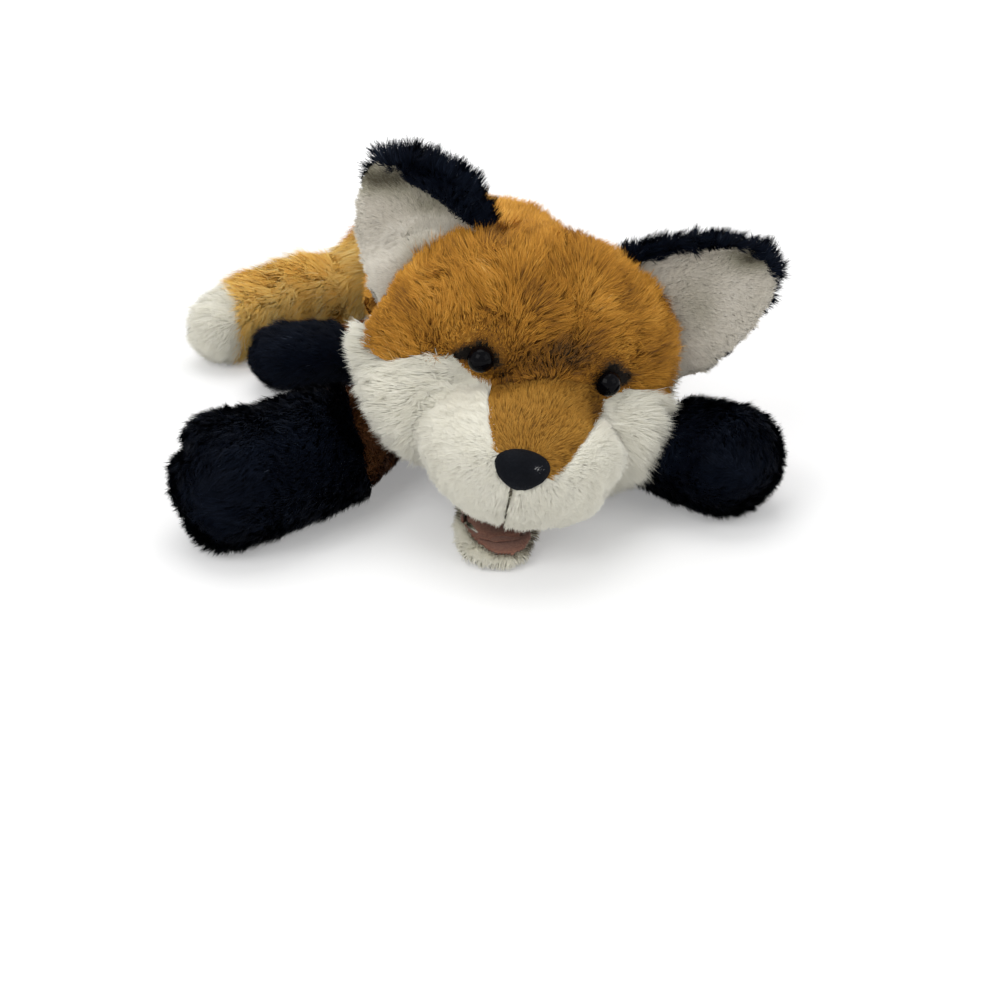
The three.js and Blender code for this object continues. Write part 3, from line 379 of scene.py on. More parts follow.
def grow(name, base, panel, material, fibres, length, comb, tone, seed, lean=(28, 62),
         swirl=0.45, tuft=0.35, tuft_length=0.005, width=FIBRE_WIDTH, ragged=0.22,
         where=None, shorten=None, reach=0.0042, ground=True, even=0.0):
    """A panel of plush: its part of the backing, and its pile as tapered fibres of three triangles.

    comb gives the way the pile lies at some points and tone the dye. lean is how far a fibre leans
    over at its root and at its tip, in degrees. where leaves out some of the roots, and shorten is
    the share of the length there. reach is how far a root may be from the panel's solid, and ground
    leaves the pile out under the puppet. even is how far the pile is shaded as one soft surface,
    and not fibre by fibre.
    """
    draw = np.random.default_rng(seed)
    corners, normals, triangles = base["corners"], base["normals"], base["triangles"]
    column = base["panels"].index(panel)
    owner = base["owner"]
    mine = (owner[triangles] == column).any(1)
    a, b, c = (corners[triangles[mine][:, i]] for i in range(3))
    area = np.linalg.norm(np.cross(b - a, c - a), axis=1)
    wanted = int(fibres * SPARE_ROOTS)
    chosen = draw.choice(len(area), wanted, p=area / area.sum())
    share = draw.dirichlet((1, 1, 1), wanted)
    indices = triangles[mine][chosen]

    def between(values):
        return sum(values[indices[:, i]] * share[:, i].reshape(-1, *[1] * (values.ndim - 1))
                   for i in range(3))

    roots, up, away = between(corners), unit(between(normals)), between(base["away"])
    away = base["marks"](roots, up, away)
    fits = (away.argmin(1) == column) & (away.min(1) < reach)
    if ground:
        pressed = (up[:, 2] < FACING_DOWN) & (roots[:, 2] < PRESSED_HEIGHT)
        fits &= ~(pressed & (draw.random(wanted) < PRESSED_BARE))
    if where is not None:
        fits &= where(roots, up)
    roots, up = roots[fits][:fibres], up[fits][:fibres]
    count = len(roots)
    way = comb(roots)
    for axis in range(3):
        way[:, axis] += swirl * waves(roots, SWIRL_SIZE, seed + 11 + axis)
        way[:, axis] += tuft * waves(roots, tuft_length, seed + 21 + axis)
    way += draw.normal(scale=STRAY, size=way.shape)
    way = unit(way - up * (way * up).sum(1, keepdims=True))
    size = length * (1 + ragged * waves(roots, LENGTH_PATCH, seed + 31)
                     + ragged * draw.normal(scale=0.6, size=count))
    size = np.clip(size, SHORTEST * length, LONGEST * length)
    if shorten is not None:
        size *= shorten(roots)
    size = size[:, None]
    first = np.radians(lean[0] + draw.normal(scale=7, size=count))[:, None]
    last = np.radians(lean[1] + draw.normal(scale=9, size=count))[:, None]
    rise = up * np.cos(first) + way * np.sin(first)
    fall = up * np.cos(last) + way * np.sin(last)
    roots = roots - up * ROOT_DEPTH
    middles = roots + rise * size * SECTION
    tips = middles + fall * size * SECTION
    centres = np.arange(0, count, LOCK_FIBRES)
    nearest = KDTree(len(centres))
    for k, i in enumerate(centres):
        nearest.insert(roots[i], k)
    nearest.balance()
    lock = centres[np.array([nearest.find(p)[1] for p in roots.tolist()])]
    pull = (PULL[0] + (PULL[1] - PULL[0]) * draw.random(count))[:, None]
    near = np.linalg.norm(roots[lock] - roots, axis=1, keepdims=True) < LOCK_REACH * tuft_length
    pull = pull * min(1.0, tuft / FULL_TUFT) * near
    tips = tips + (tips[lock] - tips) * pull
    middles = middles + (middles[lock] - middles) * pull * 0.35  # which moves less than its tip
    for points in (middles, tips):
        points[:, 2] = np.maximum(points[:, 2], TABLE_GAP)
    along = unit(tips - roots)
    side = unit(np.cross(up, along))
    roll = np.radians(draw.uniform(-ROLL, ROLL, count))[:, None]
    side = side * np.cos(roll) + np.cross(along, side) * np.sin(roll)
    face = np.cross(side, along)
    flip = np.sign((face * up).sum(1, keepdims=True))
    flip[flip == 0] = 1
    side, face = side * flip, face * flip
    half = side * width / 2
    blades = np.stack([roots - half, roots + half, middles + half * 0.8, middles - half * 0.8,
                       tips], 1)
    light = unit(up * (0.72 + 0.9 * even) + face * 0.28 * (1 - even) + along * 0.12 * (1 - even))
    dye = np.clip(tone(roots, draw, count), *DYE_ENDS)

    own = owner[triangles]
    body = triangles[(own == column).sum(1) * 2 > 3] if len(base["panels"]) > 1 else triangles
    used, body = np.unique(body, return_inverse=True)
    body = body.reshape(-1, 3)
    start = len(used)
    fibre = start + np.arange(count)[:, None] * 5
    quads = fibre + np.array([0, 1, 2, 3])
    ends = fibre + np.array([3, 2, 4])
    loops = np.concatenate([body.ravel(), np.hstack([quads, ends]).ravel()])
    starts = np.concatenate([np.arange(len(body)) * 3,
                             (3 * len(body) + np.arange(count)[:, None] * 7 + [0, 4]).ravel()])
    points = np.concatenate([corners[used], blades.reshape(-1, 3)])
    shading = np.concatenate([normals[used], np.repeat(light, 5, axis=0)])
    skin_tone = np.clip(tone(corners[used][body].mean(1), draw, len(body)), *DYE_ENDS)
    hang = np.where(normals[used][body].mean(1)[:, 2] < -0.5, DEEP, SHALLOW)
    skin_map = np.stack([np.stack([skin_tone - DYE_STEP, skin_tone + DYE_STEP, skin_tone], 1),
                         np.stack([hang - 0.02, hang - 0.02, hang + 0.02], 1)], 2)
    left, right = dye - DYE_STEP, dye + DYE_STEP
    across = np.stack([left, right, right, left, left, right, dye], 1)
    height = np.broadcast_to([0.03, 0.03, 0.5, 0.5, 0.5, 0.5, 0.97], across.shape)
    fibre_map = np.stack([across, height], 2)
    maps = np.concatenate([skin_map.reshape(-1, 2), fibre_map.reshape(-1, 2)])

    mesh = bpy.data.meshes.new(name)
    mesh.vertices.add(len(points))
    mesh.vertices.foreach_set("co", points.astype(np.float32).ravel())
    mesh.loops.add(len(loops))
    mesh.loops.foreach_set("vertex_index", loops.astype(np.int32))
    mesh.polygons.add(len(starts))
    mesh.polygons.foreach_set("loop_start", starts.astype(np.int32))
    mesh.update(calc_edges=True)
    mesh.uv_layers.new(name="OFBake").data.foreach_set("uv", maps.astype(np.float32).ravel())
    mesh.materials.append(material)
    mesh.normals_split_custom_set_from_vertices(shading.tolist())
    piece = bpy.data.objects.new(name, mesh)
    bpy.context.scene.collection.objects.link(piece)
    return piece


def even_tone(middle, patch=0.10, grain=0.07, seed=5, extra=None):
    """Dye round a middle value, with soft patches and a little difference from fibre to fibre."""
    def tone(points, draw, count):
        value = middle + patch * waves(points, DYE_PATCH, seed) + grain * draw.normal(size=count)
        return value + (extra(points) if extra else 0)
    return tone


def towards(goal):
    """Pile that lies towards a point."""
    return lambda points: unit(np.array(goal) - points)


def away_from(start, drop=0.0):
    """Pile that lies away from a point, and hangs a little."""
    def comb(points):
        way = unit(points - np.array(start))
        way[:, 2] -= drop
        return unit(way)
    return comb


def dress(piece, body, slot, *nodes, bend=None):
    """The piece rides on its body and stands for its CAD nodes, which it hides; slot is not used.

    With bend (only whether it is given is read), it stays fixed where it stands and rides on no
    body."""
    if bend:
        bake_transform(piece)
    else:
        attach(piece, body)
    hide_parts(*nodes)
    return piece


BODY_MIDDLE = 0.012  # how far the body's middle is to the fox's left, in metres


def rearward(points):
    """Pile that lies towards the tail, spreads to both sides and hangs a little."""
    return unit(np.stack([(points[:, 0] - BODY_MIDDLE) * 6, np.full(len(points), 1.0),
                          np.full(len(points), -0.25)], 1))


rust_pile = plush("rust_plush", RUST)
auburn_pile = plush("auburn_plush", AUBURN)
torso_base = backing("torso_backing", ["back_panel", "belly_panel", "torso_stuffing"],
                     ["back_panel", "belly_panel"])
dress(grow("back_plush", torso_base, "back_panel", rust_pile, 44000, 0.0135, rearward,
           even_tone(0.62, 0.10), 100), "torso", "rust_plush", "back_panel", "torso_stuffing")
dress(grow("belly_plush", torso_base, "belly_panel", auburn_pile, 9000, 0.006, rearward,
           even_tone(0.5, 0.12), 120, lean=(35, 70)), "torso", "auburn_plush", "belly_panel")

# Neck: a band of the same rust plush between the body and the head, sewn round both, with a ring
# of filling. It hides the seam that lets the head turn and nod.
neck_base = backing("neck_backing", ["neck_ruff", "neck_stuffing"], ["neck_ruff"], rounds=6)
dress(grow("neck_plush", neck_base, "neck_ruff", rust_pile, 17000, 0.0175, rearward,
           even_tone(0.60), 140, lean=(22, 50)), "neck", "rust_plush", "neck_ruff",
      "neck_stuffing")

# Head: crown of rust plush, white cheeks, muzzle and throat, and a short brown strip down the
# muzzle. The panels are cut apart, sewn right sides together, turned and filled.
NOSE_LOW, NOSE_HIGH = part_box("nose")
NOSE = np.array((NOSE_LOW + NOSE_HIGH) / 2)
HEAD_PANELS = ["crown_panel", "right_cheek_panel", "left_cheek_panel", "muzzle_top_panel",
               "right_muzzle_panel", "left_muzzle_panel", "throat_panel"]
HEAD_FILLINGS = ["head_stuffing", "right_cheek_stuffing", "left_cheek_stuffing"]
CREAM = [(0.0, (0.07, 0.055, 0.04)), (0.25, (0.46, 0.42, 0.32)), (0.55, (0.88, 0.85, 0.72)),
         (1.0, (0.97, 0.95, 0.84))]
MUZZLE_RUST = [(0.0, (0.12, 0.055, 0.015)), (0.45, (0.40, 0.185, 0.026)),
               (1.0, (0.66, 0.36, 0.07))]


def line_gap(line, across, down):
    """How far points of the picture are from a line of pixels."""
    gap = np.full(len(across), np.inf)
    for (x0, y0), (x1, y1) in zip(line, line[1:]):
        run = np.array([x1 - x0, y1 - y0], float)
        share = np.clip(((across - x0) * run[0] + (down - y0) * run[1]) / (run @ run), 0, 1)
        gap = np.minimum(gap, np.hypot(across - x0 - share * run[0], down - y0 - share * run[1]))
    return gap


def head_shape(corners, normals):
    """Sews in the folds, on the front only, and draws in what is smaller, round its side too."""
    across, down = pixels_of(corners)
    facing = normals @ -np.array(look)
    for lines, least in ((HEAD_FOLDS, 0.05), (HEAD_DRAWN_IN, -0.6)):
        for line, deep, wide in lines:
            near = np.exp(-(line_gap(line, across, down) / wide) ** 2)
            corners = corners - normals * (deep * near * (facing > least))[:, None]
    return corners


# The lines between brown and white, as outlines in pixels of the photograph. Inside the first kind
# the pile is white, and inside each of the others it is that panel's.
WHITE_MARKS = [
    [(330, 327), (371, 329), (375, 352), (393, 365), (413, 357), (425, 353), (451, 355),
     (463, 364), (473, 377), (489, 392), (470, 430), (330, 430)],
    [(603, 400), (626, 388), (648, 396), (665, 398), (680, 409), (705, 420), (680, 480),
     (560, 480), (566, 464), (590, 430), (600, 412)],
    [(497, 452), (522, 472), (549, 478), (566, 464), (580, 520), (490, 520), (470, 430),
     (489, 392), (490, 425)],
]
BROWN_MARKS = [
    ("crown_panel", [(451, 355), (463, 364), (473, 377), (489, 392), (497, 386), (545, 381),
                     (590, 384), (603, 400), (626, 388), (640, 340), (560, 300), (450, 320)]),
    ("crown_panel", [(648, 396), (665, 400), (676, 412), (720, 412), (720, 280), (640, 300)]),
    ("crown_panel", [(369, 322), (373, 350), (393, 363), (413, 356), (425, 352), (451, 354),
                     (451, 322)]),
    ("crown_panel", [(320, 260), (400, 260), (400, 326), (371, 328), (345, 328), (320, 328)]),
    ("muzzle_top_panel", [(489, 392), (497, 386), (545, 381), (590, 384), (603, 400),
                          (600, 412), (590, 430), (566, 464), (549, 478), (522, 472),
                          (497, 452), (490, 425)]),
]
CROWN_LOW = 0.095  # above this height a brown mark counts on the hidden side too, in metres


def inside(outline, across, down):
    """Which points are inside an outline."""
    crossings = np.zeros(len(across), int)
    for (x0, y0), (x1, y1) in zip(outline, outline[1:] + outline[:1]):
        if y0 != y1:
            spans = (down >= min(y0, y1)) & (down < max(y0, y1))
            crossings += spans & (across < x0 + (down - y0) * (x1 - x0) / (y1 - y0))
    return crossings % 2 == 1


def head_marks(points, up, away):
    """Gives points of the face to the panel whose colour the photograph shows there."""
    across, down = pixels_of(points)
    seen = (up @ -np.array(look)) > -0.1
    browns = [HEAD_PANELS.index("crown_panel"), HEAD_PANELS.index("muzzle_top_panel")]
    for outline in WHITE_MARKS:
        rows = np.flatnonzero(inside(outline, across, down) & seen)
        rows = rows[np.isin(away[rows].argmin(1), browns)]
        away[np.ix_(rows, browns)] += 1
        away[rows, away[rows].argmin(1)] = 0
    for panel, outline in BROWN_MARKS:
        high = points[:, 2] > CROWN_LOW
        rows = np.flatnonzero(inside(outline, across, down) & (seen | high))
        away[rows] += 1
        away[rows, HEAD_PANELS.index(panel)] = 0
    return away


# Each fold is a line of pixels on the photograph, its depth in metres and its half width in pixels:
# the seam from the nose to the mouth, the folds beside the muzzle and those between the eyes.
HEAD_FOLDS = [
    ([(512, 494), (505, 520)], 0.0050, 4),
    ([(437, 388), (423, 408), (416, 440), (421, 466)], 0.0016, 9),
    ([(597, 424), (578, 448), (562, 470)], 0.0022, 7),
    ([(497, 386), (540, 380), (574, 382)], 0.0034, 9),
    ([(440, 356), (470, 372), (497, 386)], 0.0022, 7),
    ([(586, 388), (592, 402), (584, 420)], 0.0022, 5),
]
# Where the head is smaller than its solids, the same way: beside the right ear, along the lower
# edges of the cheeks and beside the mouth. It is fuller at the left cheek and under the nose.
HEAD_DRAWN_IN = [
    ([(345, 300), (362, 285), (385, 258), (412, 238)], 0.0095, 24),
    ([(336, 312), (352, 312)], 0.0060, 14),
    ([(345, 405), (358, 432), (380, 458), (405, 476)], 0.0130, 22),
    ([(684, 412), (676, 430)], -0.0070, 16),
    ([(672, 458), (655, 480), (625, 500)], 0.0165, 20),
    ([(470, 516), (500, 528), (535, 530)], -0.0030, 16),
    ([(590, 530), (616, 506)], 0.0040, 14),
]
head_base = backing("head_backing", [*HEAD_PANELS, *HEAD_FILLINGS, "nose"], HEAD_PANELS,
                    voxel=0.0028, rounds=9, shape=head_shape, marks=head_marks)
head_face = BVHTree.FromPolygons(head_base["corners"].tolist(), head_base["triangles"].tolist())


def on_head(u, v):
    """The point of the head's backing that the camera sees at a pixel of the photograph."""
    return np.array(head_face.ray_cast(eye_point, pixel_ray(u, v))[0])


def spots(marks):
    """Adds to the tone near some points of the head, for dye and painted shade alike; each mark is
    a pixel, a radius and how much.
    """
    placed = [(on_head(u, v), radius, much) for u, v, radius, much in marks]

    def extra(points):
        total = np.zeros(len(points))
        for centre, radius, much in placed:
            gap = np.linalg.norm(points - centre, axis=1)
            total += much * np.exp(-(gap / radius) ** 2)
        return total
    return extra


# On the crown: black pile round the eyes, painted shade between the eyes and beside the fold at the
# muzzle top, and two lighter patches high on the crown.
CROWN_MARKS = [
    (556, 354, 0.0115, -0.22), (532, 357, 0.0105, -0.20), (509, 366, 0.0085, -0.20),
    (577, 362, 0.0090, -0.14), (503, 378, 0.0050, -0.20),
    (481, 352, 0.0052, -0.8), (466, 354, 0.0040, -0.8), (457, 355, 0.0025, -0.5),
    (492, 362, 0.0040, -0.6), (612, 372, 0.0060, -0.8), (624, 378, 0.0040, -0.7),
    (598, 384, 0.0040, -0.35), (470, 290, 0.014, 0.10), (430, 300, 0.012, 0.08),
]
crown_tone = even_tone(0.53, 0.10, 0.10, 7, spots(CROWN_MARKS))
# Painted shade on the muzzle top: in the creases along its edges and under the right eye.
MUZZLE_MARKS = [(595, 410, 0.0060, -0.42), (498, 400, 0.003, -0.25), (570, 452, 0.004, -0.2),
                (600, 392, 0.004, -0.25)]
muzzle_tone = even_tone(0.55, 0.08, 0.10, 9, spots(MUZZLE_MARKS))
cream_tone = even_tone(0.80, 0.05, 0.07, 13)
MUZZLE_SEAM = ((511, 490), (504, 522))
SEAM_WIDTH = 2.4  # half of it, in pixels
SEAM_RUN_OUT = 4


def at_seam(points):
    """1 on the seam from the nose to the mouth, and 0 a few pixels from it."""
    across, down = pixels_of(points)
    (x0, y0), (x1, y1) = MUZZLE_SEAM
    middle = x0 + (down - y0) * (x1 - x0) / (y1 - y0)
    near = np.exp(-((across - middle) / SEAM_WIDTH) ** 2)
    return near * (down > y0 - SEAM_RUN_OUT) * (down < y1 + SEAM_RUN_OUT)


muzzle_white = even_tone(0.80, 0.05, 0.07, 15, lambda points: -0.8 * at_seam(points))
cream_pile = plush("white_plush", CREAM, rough=0.7, root=0.95, tip=1.02, sheen=0.1)
muzzle_pile = plush("muzzle_plush", MUZZLE_RUST, root=0.55)
from_nose = away_from(NOSE)
EYE_SHORTEST = 0.24  # the share of the pile's length that is left at an eye
EYE_CLEARED = (0.0105, 0.0245)  # from its middle, where the pile is shortest and where it is whole
NOSE_SHARE = 0.72  # of the square of the nose's half size, inside which no pile grows
NOSE_CLEARED = 0.012  # from the nose's middle, where the pile starts to be longer


def rising(gap, near, far, least):
    """From least at one distance to 1 at another."""
    return np.clip(least + (1 - least) * (gap - near) / (far - near), least, 1)


def eye_clear(points):
    """Shorter pile round the eyes, so that they aren't buried."""
    share = np.ones(len(points))
    for node in ("right_eye", "left_eye"):
        low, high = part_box(node)
        gap = np.linalg.norm(points - np.array((low + high) / 2), axis=1)
        share = np.minimum(share, rising(gap, *EYE_CLEARED, EYE_SHORTEST))
    return share


def off_nose(points, up):
    """Everywhere but under the nose."""
    half = np.array(NOSE_HIGH - NOSE_LOW) / 2
    return (((points - NOSE) / half) ** 2).sum(1) > NOSE_SHARE


def from_nose_out(near, far):
    """The share of a pile's length, which grows with the distance from the nose."""
    def share(points):
        gap = np.linalg.norm(points - NOSE, axis=1)
        return near + (1 - near) * np.clip((gap - NOSE_CLEARED) / far, 0, 1)
    return share


muzzle_spread = from_nose_out(0.38, 0.045)
RIGHT_FOOT = [(376, 282), (376, 312)]  # the line of the right ear's foot, in pixels
FOOT_SHORTEST = 0.4  # the share of the length that is left there
FOOT_CLEARED = (12, 46)  # pixels from it where the pile is shortest and where it is whole


def crown_length(points):
    """Short round the eyes and beside the right ear's foot."""
    return eye_clear(points) * rising(line_gap(RIGHT_FOOT, *pixels_of(points)),
                                      *FOOT_CLEARED, FOOT_SHORTEST)


dress(grow("crown_plush", head_base, "crown_panel", rust_pile, 56000, 0.0095,
           away_from(NOSE + (0, 0.01, -0.01)), crown_tone, 200, swirl=0.75, tuft=0.45,
           tuft_length=0.004, width=0.00045, lean=(18, 50), shorten=crown_length),
      "head", "rust_plush", "crown_panel", "head_stuffing")

# Cheeks, muzzle and throat: white plush, long on the cheeks and clipped short towards the nose,
# with the strip of short brown plush between the two sides of the muzzle.
CHEEK_FRINGE = [(676, 402), (668, 436), (645, 470)]  # where the left cheek's pile is longest
FRINGE_MORE = 0.5  # how much longer it is there, as a share
FRINGE_WIDTH = 18  # in pixels


def fringe(points):
    """Longer pile along the outer edge of the left cheek."""
    gap = line_gap(CHEEK_FRINGE, *pixels_of(points))
    return 1 + FRINGE_MORE * np.exp(-(gap / FRINGE_WIDTH) ** 2)


for side, seed, length, spread in (("right", 220, 0.0125, from_nose_out(0.45, 0.07)),
                                   ("left", 230, 0.0165, from_nose_out(0.5, 0.06))):
    dress(grow(f"{side}_cheek_plush", head_base, f"{side}_cheek_panel", cream_pile, 34000,
               length, away_from(NOSE + (0, 0, 0.02), 0.30), cream_tone, seed, swirl=0.22,
               tuft=0.2, ragged=0.16, width=0.00048, even=0.6,
               shorten=lambda points: spread(points) * eye_clear(points) * fringe(points)),
          "head", "white_plush", f"{side}_cheek_panel", f"{side}_cheek_stuffing")
    dress(grow(f"{side}_muzzle_plush", head_base, f"{side}_muzzle_panel", cream_pile, 28000,
               0.0105, away_from(NOSE + (0, 0, 0.012), 0.15), muzzle_white, seed + 5,
               lean=(30, 62), swirl=0.2, tuft=0.15, tuft_length=0.004, ragged=0.14,
               width=0.00045, even=0.6, where=off_nose,
               shorten=lambda points: muzzle_spread(points) * (1 - 0.8 * at_seam(points))),
          "head", "white_plush", f"{side}_muzzle_panel")
dress(grow("muzzle_top_plush", head_base, "muzzle_top_panel", muzzle_pile, 14000, 0.0040,
           from_nose, muzzle_tone, 240, lean=(16, 44), swirl=0.3, tuft=0.3, tuft_length=0.003,
           width=0.00042, ragged=0.2, where=off_nose),
      "head", "muzzle_plush", "muzzle_top_panel")
dress(grow("throat_plush", head_base, "throat_panel", cream_pile, 5000, 0.0125, rearward,
           cream_tone, 250), "head", "white_plush", "throat_panel")

# Mouth: roof and floor of brown suede cloth that meet at the hinge, and a chin of white plush. A
# thumb in the pocket of the jaw opens it.
SUEDE = ((0.330, 0.160, 0.110), (0.190, 0.085, 0.058))
THREADS = 520  # the scale of a weave's threads
THREAD_SHOW = 0.07  # how far they show in its colour and height


def cloth(name, light, dark, scale, weave=False, sheen=0.3, bump=0.25):
    """Woven or napped cloth whose colour and bump follow its threads or its nap."""
    material = bpy.data.materials.new(name)
    material.use_nodes = True
    tree = material.node_tree
    surface = tree.nodes["Principled BSDF"]
    surface.inputs["Roughness"].default_value = 0.85
    surface.inputs["Specular IOR Level"].default_value = 0.2
    surface.inputs["Sheen Weight"].default_value = sheen
    place = shader(material, "ShaderNodeTexCoord", at=(-1000, 0))
    nap = shader(material, "ShaderNodeTexNoise", {"Scale": scale, "Detail": 6}, (-700, 0))
    mix = shader(material, "ShaderNodeMix", at=(-300, 100))
    mix.data_type = "RGBA"
    mix.inputs["A"].default_value = (*dark, 1)
    mix.inputs["B"].default_value = (*light, 1)
    raised = shader(material, "ShaderNodeBump", {"Strength": bump, "Distance": 0.0003},
                    (-300, -200))
    links = tree.links
    links.new(place.outputs["Object"], nap.inputs["Vector"])
    height = nap.outputs["Fac"]
    for axis in "XY" if weave else "":
        thread = shader(material, "ShaderNodeTexWave", {"Scale": THREADS, "Distortion": 0.6},
                        (-700, -300))
        thread.bands_direction = axis
        links.new(place.outputs["Object"], thread.inputs["Vector"])
        both = shader(material, "ShaderNodeMath", at=(-500, -300))
        both.operation = "MULTIPLY_ADD"
        both.inputs[1].default_value = THREAD_SHOW
        links.new(thread.outputs["Fac"], both.inputs[0])
        links.new(height, both.inputs[2])
        height = both.outputs[0]
    links.new(height, raised.inputs["Height"])
    spread = shader(material, "ShaderNodeMapRange", {"From Min": 0.3, "From Max": 0.8}, (-500, 100))
    links.new(height, spread.inputs["Value"])
    links.new(spread.outputs[0], mix.inputs["Factor"])
    links.new(mix.outputs["Result"], surface.inputs["Base Color"])
    links.new(raised.outputs[0], surface.inputs["Normal"])
    return material


def cloth_piece(name, node, material, body, slot, voxel=0.0012, rounds=4, crease=0.0004):
    """A lining cut from smooth cloth: the CAD solid's own form, softened and slightly creased."""
    form = smooth_form(name, [node], voxel, rounds, 0.0)
    corners, normals, _ = mesh_arrays(form.data)
    corners += normals * (crease * waves(corners, 0.011, len(name)))[:, None]
    corners[:, 2] = np.maximum(corners[:, 2], TABLE_GAP)
    form.data.vertices.foreach_set("co", corners.ravel())
    form.data.update()
    form.data.materials.append(material)
    return dress(form, body, slot, node)


suede = cloth("mouth_suede", *SUEDE, 900)
cloth_piece("mouth_roof_suede", "mouth_roof", suede, "head", "mouth_suede", 0.0009)
cloth_piece("mouth_floor_suede", "mouth_floor", suede, "jaw", "mouth_suede", 0.0009)
LIP_EDGE = [(462, 510), (464, 522), (470, 534), (480, 545), (495, 554), (512, 555), (523, 549),
            (529, 539), (530, 528)]
LIP = [*LIP_EDGE, (515, 500), (480, 500)]
LIP_WALL = 0.0012
CHIN_SIDE = 0.027  # in metres to the fox's left, where the chin starts to be narrower
CHIN_LOSS = 0.35  # the share of its width that it loses from there
LIP_LOWEST = 0.006  # the height above the table where the lip ends
LIP_CREASE_SHADOW = 0.62  # how much darker the painted shadow in the crease along the lip makes its pile
CREASE_WIDTH = 3.2  # in pixels


def narrow_chin(corners, normals):
    """The chin is narrower on the fox's left than the room that the jaw turns in."""
    corners[:, 0] -= CHIN_LOSS * np.clip(corners[:, 0] - CHIN_SIDE, 0, None)
    return corners


def off_lip(points, up):
    """Everywhere but inside the lip, where the suede is turned over the chin's edge."""
    return ~inside(LIP, *pixels_of(points)) | (points[:, 2] < LIP_LOWEST)


def lip_shade(points):
    """Painted shadow: darker pile in the crease along the lip."""
    gap = line_gap(LIP_EDGE, *pixels_of(points))
    return -LIP_CREASE_SHADOW * np.exp(-(gap / CREASE_WIDTH) ** 2)


jaw_base = backing("jaw_backing", ["chin_panel"], ["chin_panel"], voxel=0.0016, rounds=5,
                   sunk=0.0014, shape=narrow_chin)
dress(grow("chin_plush", jaw_base, "chin_panel", cream_pile, 16000, 0.0046,
           away_from(NOSE + (0, 0.03, -0.02), 0.3), even_tone(0.74, 0.05, 0.07, 13, lip_shade),
           260, tuft=0.12, even=0.7, tuft_length=0.004, lean=(40, 68), where=off_lip),
      "jaw", "white_plush", "chin_panel")
lip_faces = jaw_base["triangles"]
lip_faces = lip_faces[~off_lip(jaw_base["corners"][lip_faces].mean(1),
                               jaw_base["normals"][lip_faces].mean(1))]
used, lip_faces = np.unique(lip_faces, return_inverse=True)
mesh = bpy.data.meshes.new("lip_suede")
mesh.from_pydata((jaw_base["corners"] + jaw_base["normals"] * LIP_WALL)[used].tolist(), [],
                 lip_faces.reshape(-1, 3).tolist(), shade_flat=False)
lip = bpy.data.objects.new("lip_suede", mesh)
bpy.context.scene.collection.objects.link(lip)
bpy.context.view_layer.objects.active = lip
wall = lip.modifiers.new("wall", "SOLIDIFY")
wall.thickness = LIP_WALL
bpy.ops.object.modifier_apply(modifier=wall.name)
mesh.materials.append(suede)
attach(lip, "jaw")


# Eyes: black glossy plastic domes, each with a shank through the plush and a push-on washer
# behind it.
def plastic(name, colour, rough, shine=0.3):
    """Moulded plastic with a faint cloudiness in its colour and gloss."""
    material = bpy.data.materials.new(name)
    material.use_nodes = True
    tree = material.node_tree
    surface = tree.nodes["Principled BSDF"]
    surface.inputs["Specular IOR Level"].default_value = shine
    place = shader(material, "ShaderNodeTexCoord", at=(-900, 0))
    cloud = shader(material, "ShaderNodeTexNoise", {"Scale": 400, "Detail": 3}, (-700, 0))
    tint = shader(material, "ShaderNodeMix", at=(-300, 100))
    tint.data_type = "RGBA"
    tint.inputs["A"].default_value = (*[c * 0.8 for c in colour], 1)
    tint.inputs["B"].default_value = (*[c * 1.25 for c in colour], 1)
    gloss = shader(material, "ShaderNodeMapRange", {"To Min": rough * 0.8, "To Max": rough * 1.3},
                   (-300, -150))
    links = tree.links
    links.new(place.outputs["Object"], cloud.inputs["Vector"])
    links.new(cloud.outputs["Fac"], tint.inputs["Factor"])
    links.new(cloud.outputs["Fac"], gloss.inputs["Value"])
    links.new(tint.outputs["Result"], surface.inputs["Base Color"])
    links.new(gloss.outputs[0], surface.inputs["Roughness"])
    return material


eye_black = plastic("eye_plastic", (0.0015, 0.0015, 0.0025), 0.09, 0.06)
washer_white = plastic("washer_plastic", (0.62, 0.60, 0.55), 0.42)
for side in ("right", "left"):
    form = smooth_form(f"{side}_eye_dome", [f"{side}_eye"], 0.0006, 6, 0.0)
    form.data.materials.append(eye_black)
    dress(form, "head", "eye_plastic", f"{side}_eye")
    washer = frame["nodes"][f"{side}_eye_washer"]
    washer.data.materials.clear()
    washer.data.materials.append(washer_white)

# Nose: black velvet over a little filling, gathered at the back and sewn down the middle, with
# bits of lint on its nap.
VELVET = [(0.0, (0.0015, 0.002, 0.003)), (0.6, (0.005, 0.006, 0.009)),
          (0.92, (0.012, 0.013, 0.017)), (1.0, (0.30, 0.30, 0.30))]
NOSTRILS = [(512, 478), (534, 480)]  # in pixels, as are the next four
NOSTRIL_WIDTH = 6
NOSE_SEAM = (521, 480)
NOSE_SEAM_WIDTH = 3
LINT = (537, 469)
NOSTRIL_DEPTH, NOSE_SEAM_DEPTH = 0.0009, 0.0008


def nose_shape(corners, normals):
    """Two shallow nostrils and the seam between them."""
    across, down = pixels_of(corners)
    front = (normals @ -np.array(look)) > 0
    for u, v in NOSTRILS:
        gap = np.hypot(across - u, down - v)
        dent = np.exp(-(gap / NOSTRIL_WIDTH) ** 2) * front
        corners = corners - normals * (NOSTRIL_DEPTH * dent)[:, None]
    u, v = NOSE_SEAM
    gap = across - u + (down - v) * 0.2
    seam = np.exp(-(gap / NOSE_SEAM_WIDTH) ** 2) * (down > v - 4) * front
    return corners - normals * (NOSE_SEAM_DEPTH * seam)[:, None]


def lint(points):
    """Paler where lint clings, over the fox's left nostril."""
    across, down = pixels_of(points)
    return 0.46 * np.exp(-np.hypot(across - LINT[0], down - LINT[1]) ** 2 / 34)


